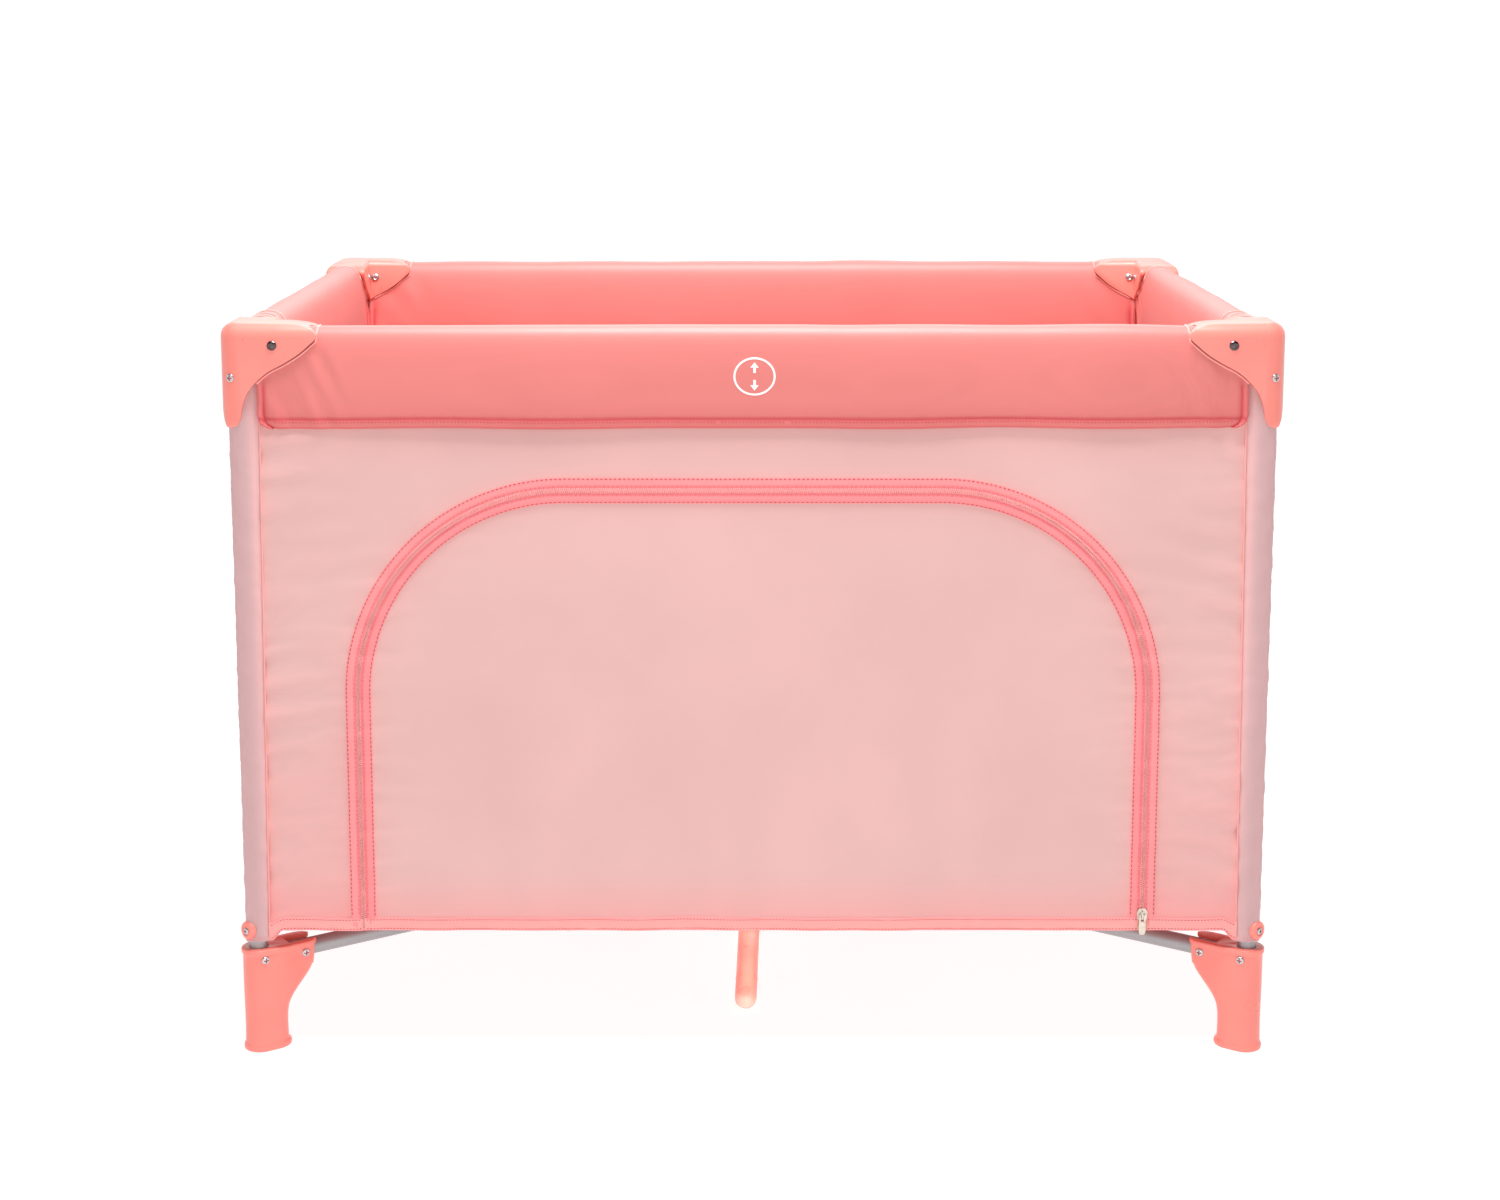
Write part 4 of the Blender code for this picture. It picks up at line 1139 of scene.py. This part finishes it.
def wall_tab(side, along, up):
    """How far a wall's bottom corners reach down to wrap the leg."""
    gap = wall_end(side, up) - np.abs(along)
    share = np.clip(1 - (up - WALL_LOW) / 0.040, 0, 1)
    return 0.0112 * smoothstep(0.0150 - gap, 0.0, 0.0125) * share ** 2


def wall_point(side, along, up, stand=0.0):
    """Points of a wall's outer face, standing proud of it by a distance."""
    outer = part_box("panel_" + side)[1 if side in ("back", "right") else 0]
    plane = abs(outer[1 if is_long(side) else 0]) - rail_line(side)
    return in_side(side, along, plane + wall_relief(side, along, up) + stand, up - wall_tab(side, along, up))


def wall_tint(side, along, up):
    """How much a wall takes its second colour: low down, painted shade at its top under the rail cover, along
    seams, beside the zip, and painted shade in the pulled creases.
    """
    edge = wall_end(side, up) - np.abs(along)
    low = 0.48 * smoothstep(0.200 - up, 0.0, 0.060)
    # painted shade just under the rail cover
    top = 0.20 * smoothstep(up, 0.60, 0.66)
    seam = 0.45 * np.exp(-np.maximum(edge, 0) / 0.006)
    total = low + top + seam
    if side == "front":
        gap = np.abs(arch_distance(along, up)) - ZIP_HALF
        total = total + 0.30 * np.exp(-np.maximum(gap, 0) / 0.010)
        outside = smoothstep(arch_distance(along, up), 0.0, 0.02)
        total = total + 0.26 * outside * smoothstep(0.46 - up, 0.0, 0.28)
    # painted shade in the pulled creases
    return np.clip(total + 0.10 * wall_streaks(side, along, up), 0, 1)


def fold_wall(piece):
    """A wall piece gets its own copy of its mesh."""
    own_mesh(piece)


def finish_wall_piece(piece, side, body=None):
    attach(piece, body or SIDES[side][4])
    fold_wall(piece)
    return piece


def cloth_sheet(name, side, along, up, body=None):
    """A thin cloth over a grid of (along, up) points of a wall."""
    front = wall_point(side, along, up)
    back = wall_point(side, along, up, -SHEET_THICKNESS)
    tint = np.tile(wall_tint(side, along, up).ravel(), 2)
    piece = make(name, *shell(front, back), "wall_fabric", 50, tint)
    return finish_wall_piece(piece, side, body=body)


def arch_path(offset, low=WALL_LOW, legs=150, bends=90, top=150):
    """The zip's centre line offset outward, from its lower right end over the top to its lower left end."""
    radius = DOOR_RADIUS + offset
    half = DOOR_HALF + offset
    rise = np.linspace(low, SPRING, legs, endpoint=False)
    turn = np.linspace(0, math.pi / 2, bends, endpoint=False)
    span = np.linspace(CORE, -CORE, top, endpoint=False)
    parts = [
        np.stack([np.full_like(rise, half), rise], -1),
        np.stack([CORE + radius * np.cos(turn), SPRING + radius * np.sin(turn)], -1),
        np.stack([span, np.full_like(span, SPRING + radius)], -1),
        np.stack([-CORE - radius * np.sin(turn), SPRING + radius * np.cos(turn)], -1),
        np.stack([np.full_like(rise, -half), rise[::-1] + (SPRING - low) / legs], -1),
        [(-half, low)],
    ]
    return np.concatenate(parts)


def wall_frame(legs=150, bends=90, top=150):
    """The front wall's outer edge, matched point by point to the zip's line."""
    knee, span = 0.47, 0.34
    rise = np.concatenate([np.linspace(WALL_LOW, knee, legs, endpoint=False),
                           np.linspace(knee, WALL_HIGH, bends // 2, endpoint=False)])
    corner = float(wall_end("front", WALL_HIGH))
    inward = np.concatenate([np.linspace(corner, span, bends - bends // 2, endpoint=False),
                             np.linspace(span, 0, top // 2, endpoint=False)])
    right = np.concatenate([np.stack([wall_end("front", rise), rise], -1),
                            np.stack([inward, np.full_like(inward, WALL_HIGH)], -1)])
    return np.concatenate([right, [(0, WALL_HIGH)], right[::-1] * (-1, 1)])


def declare_wall(wall, side):
    """A wall, a sheet stretched between its legs, stands for its panel: the panel's CAD node is hidden."""
    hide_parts("panel_" + side)


def build_front_wall():
    share = np.linspace(0, 1, 40)[:, None, None]
    grid = arch_path(DOOR_GAP) * (1 - share) + wall_frame() * share
    along, up = grid[..., 0], grid[..., 1]
    declare_wall(cloth_sheet("wall_front", "front", along, up), "front")

    radius = DOOR_RADIUS - DOOR_GAP
    levels = np.concatenate([np.linspace(WALL_LOW, SPRING, 110, endpoint=False),
                             SPRING + radius * np.sin(np.linspace(0, math.pi / 2, 80))])
    rise = np.clip(levels - SPRING, 0, radius)
    half = CORE + np.sqrt(np.maximum(radius ** 2 - rise ** 2, 0))
    across = np.sin(np.linspace(-1, 1, 150) * math.pi / 2)
    across = 0.5 * across + 0.5 * np.linspace(-1, 1, 150)
    along = half[:, None] * across[None]
    up = np.broadcast_to(levels[:, None], along.shape)
    door = cloth_sheet("door", "front", along, up, body="zip_door")
    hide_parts("zip_door")


def build_plain_wall(side):
    up = np.linspace(WALL_LOW, WALL_HIGH, 190)[:, None]
    spread = np.linspace(-1, 1, 170 if is_long(side) else 120)
    spread = 0.6 * spread + 0.4 * np.sin(spread * math.pi / 2)
    along = spread[None] * wall_end(side, up)
    up = np.broadcast_to(up, along.shape)
    declare_wall(cloth_sheet("wall_" + side, side, along, up), side)


def build_zip_tape(label, facing, body):
    near, far = 0.0002, ZIP_HALF + 0.0012
    across = np.linspace(near, far, 9)
    grid = np.array([arch_path(facing * d, legs=110, bends=80, top=90) for d in across])
    along, up = grid[..., 0], grid[..., 1]
    roll = np.interp(across, [near, 0.0044, 0.0060, far - 0.002, far], [0.0, 0.0, 0.0007, 0.0004, -0.0002])
    front = wall_point("front", along, up, 0.0008 + roll[:, None])
    back = wall_point("front", along, up, -0.0002)
    # painted shade: a dark line beside the coil; the door's tape is a little darker all over
    shade = 0.45 * bell(across[:, None] - 0.0038, 0.0010) + (0.22 if facing < 0 else 0.05)
    tint = np.tile(np.broadcast_to(shade, along.shape).ravel(), 2)
    tape = make(f"zip_tape_{label}", *shell(front, back), "tape_fabric", 50, tint)
    finish_wall_piece(tape, "front", body=body)


def build_zip_coil(label, facing, body):
    """A row of coil teeth, set half a pitch from the other row's."""
    centre = arch_path(0.0, low=WALL_LOW + 0.001)
    pitch = 0.0021
    places = np.arange(pitch + (pitch / 2 if facing < 0 else 0), distances(centre)[-1], pitch)
    points = along_path(centre, places)
    ahead = unit(along_path(centre, places + 0.0005) - points)
    outward = np.stack([ahead[:, 1], -ahead[:, 0]], -1) * facing
    base = wall_point("front", points[:, 0], points[:, 1], 0.0012)
    reaches = np.array((-0.0009, 0.0005, 0.0021, 0.0031))[:, None]
    half = 0.0008
    proud = np.array((0, -1, 0)) * half
    parts = []
    for point, forward, away in zip(base, ahead, outward):
        bar = point + np.array((away[0], 0, away[1])) * reaches
        parts.append(pointed_bar(bar, np.array((forward[0], 0, forward[1])) * half, proud))
    coil = make(f"zip_coil_{label}", *merged(parts), "coil_nylon", 180)
    finish_wall_piece(coil, "front", body)


def build_zip_run(label, facing, body):
    """One half of the zip: tape, coil and stitches. facing is 1 on the wall and -1 on the door."""
    build_zip_tape(label, facing, body)
    build_zip_coil(label, facing, body)
    seams = ((ZIP_HALF, 0.0012, "stitch_thread"), (0.0046, 0.0011, "pink_thread"))
    for row, (offset, stand, look) in enumerate(seams):
        line = arch_path(facing * offset, low=WALL_LOW + 0.014)
        path = wall_point("front", line[:, 0], line[:, 1], stand)
        thread = stitches(f"zip_seam_{label}_{row}", path, (0, -1, 0), look, 0.0046, 0.0031, 0.0005)
        finish_wall_piece(thread, "front", body=body)


def build_hem(side, label, start, stop, body=None):
    """A folded hem along a wall's bottom edge with a row of stitches above and below."""
    count = max(12, int((stop - start) / 0.004))
    along = np.linspace(start, stop, count)
    wave = 0.0006 * ripples(along, along * 0, 0.09, seed_of(side) + 300)
    low, high = WALL_LOW - 0.0006, HEM_TOP
    middle = (low + high) / 2
    half = (high - low) / 2
    profile = oval(half, 0.0013, 20, 0.35, 0.6)
    rings = []
    for rise, stand in profile:
        up = middle + rise + wave
        pucker = 0.00035 * ripples(along, up, 0.012, 320 + seed_of(side), 5)
        rings.append(wall_point(side, along, up, 0.0002 + stand + (pucker if stand > 0 else 0)))
    rings = np.stack(rings, 1)
    tint = np.array([0.9 if abs(rise) > half * 0.82 else 0.1 for rise, _ in profile])
    piece = make(f"hem_{side}_{label}", *tube_rings(rings), "hem_fabric", 60, np.tile(tint, count))
    finish_wall_piece(piece, side, body=body)
    for row, level in enumerate((low + 0.0022, high - 0.0020)):
        path = wall_point(side, along, level + wave, 0.0017)
        name = f"hem_seam_{side}_{label}_{row}"
        thread = stitches(name, path, SIDES[side][3], "stitch_thread", 0.0034, 0.0024)
        finish_wall_piece(thread, side, body=body)


def build_walls():
    build_front_wall()
    build_zip_run("wall", 1, None)
    build_zip_run("door", -1, "zip_door")
    gap = 0.0006
    end = float(wall_end("front", WALL_LOW))
    build_hem("front", "left", -end, -DOOR_HALF - gap)
    build_hem("front", "right", DOOR_HALF + gap, end)
    build_hem("front", "door", -DOOR_HALF + gap, DOOR_HALF - gap, "zip_door")
    for side in ("back", "left", "right"):
        build_plain_wall(side)
        end = float(wall_end(side, WALL_LOW))
        build_hem(side, "all", -end, end)


# ---------------------------------------------------------------- leg sleeves

SLEEVE_LOW = 0.1182
SLEEVE_TOP = 0.7060
SLEEVE_HEIGHT = SLEEVE_TOP - SLEEVE_LOW
WALL_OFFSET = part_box("panel_back")[1][1] - LEG_Y


def sleeve_loop(seam, count=72):
    """A +X +Y sleeve's outer section about its leg's axis. seam is its seams' distance inward."""
    points = [(-seam, WALL_OFFSET), (-0.006, 0.0112), (0.001, 0.0122), (0.0068, 0.0112), (0.0095, 0.0095),
              (0.0112, 0.0068), (0.0122, 0.001), (0.0112, -0.006), (WALL_OFFSET, -seam), (0.0015, -0.0125),
              (-0.0085, -0.0085), (-0.0125, 0.0015)]
    return spline(points + [points[0]], count + 1)[:-1]


def loop_normals(loop):
    tangent = np.roll(loop, -1, axis=0) - np.roll(loop, 1, axis=0)
    normal = unit(np.stack([tangent[:, 1], -tangent[:, 0]], -1))
    return normal if (normal * loop).sum() > 0 else -normal


def build_sleeves():
    for corner, (sign_x, sign_y) in CORNERS.items():
        seed = list(CORNERS).index(corner) + 500
        rings = []
        inside = []
        tube_shade = []
        for t in np.linspace(0, 1, 150):
            loop = sleeve_loop(SEAM_LOW + SEAM_SPREAD * t)
            centre_gap = np.abs(loop[:, 0] - loop[:, 1])
            up = np.full(len(loop), SLEEVE_LOW + SLEEVE_HEIGHT * t)
            normal = loop_normals(loop)
            crease = 0.00045 * ripples(up, centre_gap, 0.028, seed, 6)
            crease = crease + 0.00030 * ripples(up, centre_gap, 0.011, seed + 1, 5)
            rim = 0.0005 * bell(up - SLEEVE_LOW - 0.002, 0.002)
            surface = loop + normal * (np.maximum(crease, -0.0003) + rim)[:, None]
            rings.append(np.column_stack([surface, up]))
            inside.append(np.column_stack([loop - normal * 0.0008, up]))
            # painted shade: greyer where the cloth lies close to the leg tube, as the grey tube seen through
            # the thin sleeve
            tube_shade.append(0.75 * np.clip(1 - (np.hypot(*loop.T) - 0.0118) / 0.004, 0, 1))
        wall = np.array(rings + inside[::-1])
        wall[..., 0] = sign_x * (LEG_X + wall[..., 0])
        wall[..., 1] = sign_y * (LEG_Y + wall[..., 1])
        tint = np.ravel(tube_shade + tube_shade[::-1])
        piece = make("sleeve_" + corner, *tube_rings(wall, closed=True), "sleeve_fabric", 60, tint)
        attach(piece, "leg_" + corner)
        sew_sleeve(corner, sign_x, sign_y)


def sew_sleeve(corner, sign_x, sign_y):
    """The two seams where the walls meet the sleeve, and the double row round its lower edge."""
    up = np.linspace(0.134, SLEEVE_TOP - 0.004, 160)
    inward = -SEAM_LOW - SEAM_SPREAD * (up - SLEEVE_LOW) / SLEEVE_HEIGHT - 0.0006
    outward = np.full_like(up, WALL_OFFSET + 0.0006)
    for axis, (x, y) in enumerate(((inward, outward), (outward, inward))):
        path = np.column_stack([sign_x * (LEG_X + x), sign_y * (LEG_Y + y), up])
        normal = (0, sign_y, 0) if axis == 0 else (sign_x, 0, 0)
        ridge = tube_rings(sweep(path, normal, oval(0.0008, 0.0010, 8)))
        attach(make(f"sleeve_welt_{corner}_{axis}", *ridge, "hem_fabric", 60), "leg_" + corner)
    loop = sleeve_loop(SEAM_LOW)
    surface = (loop + loop_normals(loop) * 0.0008)[:50]
    for row, rise in enumerate((0.0022, 0.0050)):
        up = np.full(len(surface), SLEEVE_LOW + rise)
        path = np.column_stack([sign_x * (LEG_X + surface[:, 0]), sign_y * (LEG_Y + surface[:, 1]), up])
        normal = (sign_x * 0.7071, sign_y * 0.7071, 0)
        thread = stitches(f"sleeve_seam_{corner}_{row}", path, normal, "pink_thread", 0.0032, 0.0022)
        attach(thread, "leg_" + corner)


# ---------------------------------------------------------------- floor

def fold_floor(piece):
    """A floor piece gets its own copy of its mesh."""
    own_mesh(piece)


def build_floor_cloth(corner, sign_x, sign_y):
    angles = np.linspace(0.0, math.pi / 2, 61)[:, None]
    reach_x, reach_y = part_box("panel_right")[1][0] - 0.0022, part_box("panel_back")[1][1] - 0.0022
    limit = np.minimum(reach_x / np.maximum(np.cos(angles), 1e-6), reach_y / np.maximum(np.sin(angles), 1e-6))
    limit = np.minimum(limit, (LEG_REACH - 0.0150) / np.cos(angles - math.atan2(LEG_Y, LEG_X)))
    share = np.linspace(0, 1, 60)[None]
    radius = 0.050 + (limit - 0.050) * share
    x, y = radius * np.cos(angles), radius * np.sin(angles)
    x, y = np.maximum(x, 0.0002), np.maximum(y, 0.0002)
    edge = np.minimum(reach_x - x, reach_y - y)
    up = MAT_LOW - 0.0006 + 0.0002 * ripples(x, y, 0.06, 700) + 0.0045 * smoothstep(0.010 - edge, 0, 0.010)
    top = np.stack([sign_x * x, sign_y * y, up], -1)
    under = top - (0, 0, 0.0008)
    piece = make("floor_cloth_" + corner, *shell(top, under), "floor_fabric", 50)
    attach(piece, "arm_" + corner)
    fold_floor(piece)


def mat_outline(shrink=0.0):
    """A mat quarter's outline for the +X +Y corner, drawn in from its edge."""
    seam = 0.0006 + shrink
    far_x, far_y = MAT_X - shrink, MAT_Y - shrink
    hole = arc((0, 0), 0.0555 + shrink, 1.0 + shrink * 900, 89.0 - shrink * 900, 14)
    corner = arc((far_x - 0.020, far_y - 0.020), 0.020, 90, 0, 8)
    return hole + [(seam, far_y)] + corner + [(far_x, seam)]


def soften(piece, pins, cap):
    """Inflate a padded piece as cloth, holding its sewn lines, then keep the result."""
    group = piece.vertex_groups.new(name="sewn")
    for vertex in piece.data.vertices:
        weight = pins(vertex.co)
        if weight > 0:
            group.add([vertex.index], weight, "REPLACE")
    rest = np.array([v.co for v in piece.data.vertices])
    cloth = piece.modifiers.new("cloth", "CLOTH")
    settings = cloth.settings
    settings.quality = 6
    settings.mass = 0.25
    settings.use_pressure = True
    settings.uniform_pressure_force = 4
    settings.tension_stiffness = 18
    settings.compression_stiffness = 18
    settings.shear_stiffness = 8
    settings.bending_stiffness = 0.4
    settings.shrink_min = -0.02
    settings.vertex_group_mass = "sewn"
    settings.effector_weights.gravity = 0
    cloth.collision_settings.use_collision = False
    cloth.point_cache.frame_end = 20
    scene = bpy.context.scene
    for step in range(1, 21):
        scene.frame_set(step)
    bake(piece)
    scene.frame_set(1)
    shift = np.array([v.co for v in piece.data.vertices]) - rest
    length = np.linalg.norm(shift, axis=1)
    shift *= np.minimum(1, cap / np.maximum(length, 1e-9))[:, None]
    piece.data.vertices.foreach_set("co", (rest + shift).ravel())
    piece.vertex_groups.clear()


def mat_gap(place):
    """How far a place lies from a mat's nearest sewn channel."""
    return min(abs(place.x - MAT_X / 2), abs(place.y - MAT_Y / 2))


def near_mat_edge(place):
    return (place.x > MAT_X - 0.010 or place.y > MAT_Y - 0.010 or place.x < 0.010 or place.y < 0.010
            or math.hypot(place.x, place.y) < 0.068)


def build_mat():
    """The back right mat quarter, padded between its sewn channels."""
    middle = (MAT_LOW + MAT_HIGH) / 2
    half = (MAT_HIGH - MAT_LOW) / 2
    mesh = bpy.data.meshes.new("mat")
    prism(mat_outline(0.004), 2, MAT_LOW + 0.004, MAT_HIGH - 0.004).to_mesh(mesh)
    mat = place_mesh("mat_back_right", mesh, "mat_fabric", 60)
    remesh = mat.modifiers.new("remesh", "REMESH")
    remesh.mode = "VOXEL"
    remesh.voxel_size = 0.0065
    bake(mat)

    def sewn(place):
        rim = abs(place.z - middle) < 0.0035
        return 1.0 if mat_gap(place) < 0.0045 or (rim and near_mat_edge(place)) else 0.0

    for vertex in mat.data.vertices:
        gap = mat_gap(vertex.co)
        vertex.co.z = middle + (vertex.co.z - middle) * (1 - 0.55 * math.exp(-(gap / 0.010) ** 2))
    soften(mat, sewn, 0.0040)
    for vertex in mat.data.vertices:
        vertex.co.z = middle + max(-half, min(half + 0.002, vertex.co.z - middle))
    mat.data.update()
    mat.modifiers.new("smooth", "SUBSURF").levels = 1
    bake(mat)
    mat.data.shade_smooth()
    mat.data.materials.clear()
    mat.data.materials.append(LOOKS["mat_fabric"])
    return mat


def build_mats():
    middle = (MAT_LOW + MAT_HIGH) / 2
    pieces = {"mat_": build_mat()}
    outline = np.array([(*p, middle) for p in resampled(mat_outline(0.0012), 240)])
    rings = sweep(np.vstack([outline[-1:], outline, outline[:1]]), UP, oval(0.0016, 0.0016, 10))[1:-1]
    pieces["mat_piping_"] = make("mat_piping_back_right", *tube_rings(rings, closed=True), "webbing", 60)
    share = np.linspace(0, 1, 120)[:, None]
    height = np.full(120, middle + (MAT_HIGH - MAT_LOW) / 2 * 0.42)
    channels = (("x", (MAT_X / 2, 0.012), (MAT_X / 2, MAT_Y - 0.012)),
                ("y", (0.012, MAT_Y / 2), (MAT_X - 0.012, MAT_Y / 2)))
    for label, start, end in channels:
        path = np.column_stack([np.array(start) * (1 - share) + np.array(end) * share, height])
        name = f"mat_seam_{label}_"
        pieces[name] = stitches(name + "back_right", path, UP, "stitch_thread", 0.0042, 0.0030)
    for corner, (sign_x, sign_y) in CORNERS.items():
        build_floor_cloth(corner, sign_x, sign_y)
        for base, source in pieces.items():
            piece = attach(at_corner(base, source, corner), "arm_" + corner)
            if base == "mat_":
                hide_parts("floor_mat_" + corner)
            fold_floor(piece)


def resampled(outline, count):
    """A closed outline as evenly spaced points."""
    points = np.array([*outline, outline[0]])
    return along_path(points, np.linspace(0, distances(points)[-1], count, endpoint=False))


def build_strap():
    """The webbing loop on the hub and a crossed box of stitches at each end."""
    low = HUB_TOP + 0.0009
    rise = [(-0.036, low), (-0.026, low + 0.0001), (-0.018, low + 0.0040), (-0.011, low + 0.0150)]
    curve = spline(rise + [(0.0, low + 0.0215)] + [(-x, z) for x, z in rise[::-1]], 90)
    path = np.column_stack([curve[:, 0], np.zeros(90), curve[:, 1]])
    half, thick = 0.0122, 0.0008
    profile = np.array(oval(half, thick, 32, 0.25, 0.7))
    across = np.array((0, 1, 0))
    lift = np.cross(unit(np.gradient(path, axis=0)), across)
    lift *= np.sign(lift[:, 2:3])
    rings = path[:, None] + across * profile[None, :, :1] + lift[:, None] * profile[None, :, 1:]
    strap = attach(make("strap", *tube_rings(rings), "webbing", 60), "hub", "pull_strap")
    near, far, wide = 0.0245, 0.0345, 0.009
    box = [(near, -wide), (far, -wide), (far, wide), (near, wide), (near, -wide), (far, wide), (far, -wide),
           (near, wide)]
    for label, sign in (("a", -1), ("b", 1)):
        path = np.array([(sign * x, y, low + 0.0010) for x, y in box])
        dense = np.concatenate([np.linspace(a, b, 12, endpoint=False) for a, b in zip(path, path[1:])])
        thread = stitches(f"strap_stitch_{label}", dense, UP, "stitch_thread", 0.0026, 0.0018)
        attach(thread, "hub")


# ---------------------------------------------------------------- studio

def build_studio():
    """A round pale floor that rises to a wall, soft lamps and the photograph's camera."""
    scene = bpy.context.scene
    paper = Nodes("studio_paper")
    place = paper.add("ShaderNodeTexCoord").outputs["Object"]
    grain = paper.noise(place, 3.0, 2.0)
    color = paper.blend(grain, srgb(150, 149, 149), srgb(156, 156, 156))
    paper.link(color, paper.shader.inputs["Base Color"])
    paper.set(Roughness=0.8, Emission_Color=(1.0, 0.995, 0.99, 1.0), Emission_Strength=0.86)
    bend = [(9.5 + 2.5 * math.sin(a), 2.5 - 2.5 * math.cos(a)) for a in np.linspace(0.15, math.pi / 2, 10)]
    profile = [(0.0, 0.0), (3.0, 0.0), (6.5, 0.0), (9.5, 0.0)] + bend + [(12.0, 5.2)]
    turns = [(math.cos(a), math.sin(a)) for a in np.linspace(0, 2 * math.pi, 72, endpoint=False)]
    vertices = [(0, 0, 0)] + [(r * c, r * s, z) for r, z in profile[1:] for c, s in turns]
    count = len(turns)
    faces = [(0, 1 + i, 1 + (i + 1) % count) for i in range(count)]
    for first in range(1, 1 + count * (len(profile) - 2), count):
        faces += [(first + i, first + count + i, first + count + (i + 1) % count, first + (i + 1) % count)
                  for i in range(count)]
    mesh = bpy.data.meshes.new("studio_floor")
    mesh.from_pydata(vertices, [], faces)
    mesh.materials.append(paper.material)
    mesh.shade_smooth()
    floor = bpy.data.objects.new("studio_floor", mesh)
    scene.collection.objects.link(floor)

    world = bpy.data.worlds.new("studio")
    world.use_nodes = True
    world.node_tree.nodes["Background"].inputs["Color"].default_value = (1.0, 0.995, 0.99, 1)
    world.node_tree.nodes["Background"].inputs["Strength"].default_value = 0.23
    scene.world = world
    lights = [
        ("key", (-1.7, -2.6, 2.3), (0, 0, 0.45), (2.6, 2.6), 3),
        ("fill", (2.6, -2.4, 1.4), (0, 0, 0.40), (2.4, 2.4), 1.5),
        ("low", (0.0, -1.9, 0.3), (0, -0.1, 0.05), (1.6, 0.4), 2.5),
        ("top", (0.0, -0.45, 2.1), (0, 0.20, 0.5), (1.0, 0.9), 56),
        ("rear", (0.0, 3.0, 2.6), (0, 0, 0.5), (3.0, 1.6), 26),
        ("under", (0.0, -0.95, 0.02), (-0.01, -0.15, 0.058), (0.12, 0.03), 0.16),
    ]
    for name, spot, target, size, power in lights:
        lamp = bpy.data.lights.new("studio_" + name, "AREA")
        lamp.shape = "RECTANGLE"
        lamp.size, lamp.size_y = size
        lamp.energy = power
        item = bpy.data.objects.new("studio_" + name, lamp)
        item.location = spot
        item.rotation_euler = (Vector(target) - Vector(spot)).to_track_quat("-Z", "Y").to_euler()
        if name == "under":
            lamp.spread = math.radians(12)
            item.visible_camera = False
        scene.collection.objects.link(item)

    camera = bpy.data.cameras.new("camera")
    camera.sensor_width = 36
    camera.lens = 59.72
    camera.shift_y = -0.11
    holder = bpy.data.objects.new("camera", camera)
    holder.location = (-0.0029, -2.8128, 1.0467)
    holder.rotation_euler = (math.radians(90 - 9.245), 0, 0)
    scene.collection.objects.link(holder)
    scene.camera = holder
    scene.view_settings.view_transform = "Standard"


build_brackets()
build_feet()
build_fasteners()
build_tubes()
build_centre_legs()
dress_cad_nodes()
build_covers()
build_label()
build_walls()
build_sleeves()
build_mats()
build_strap()
build_studio()
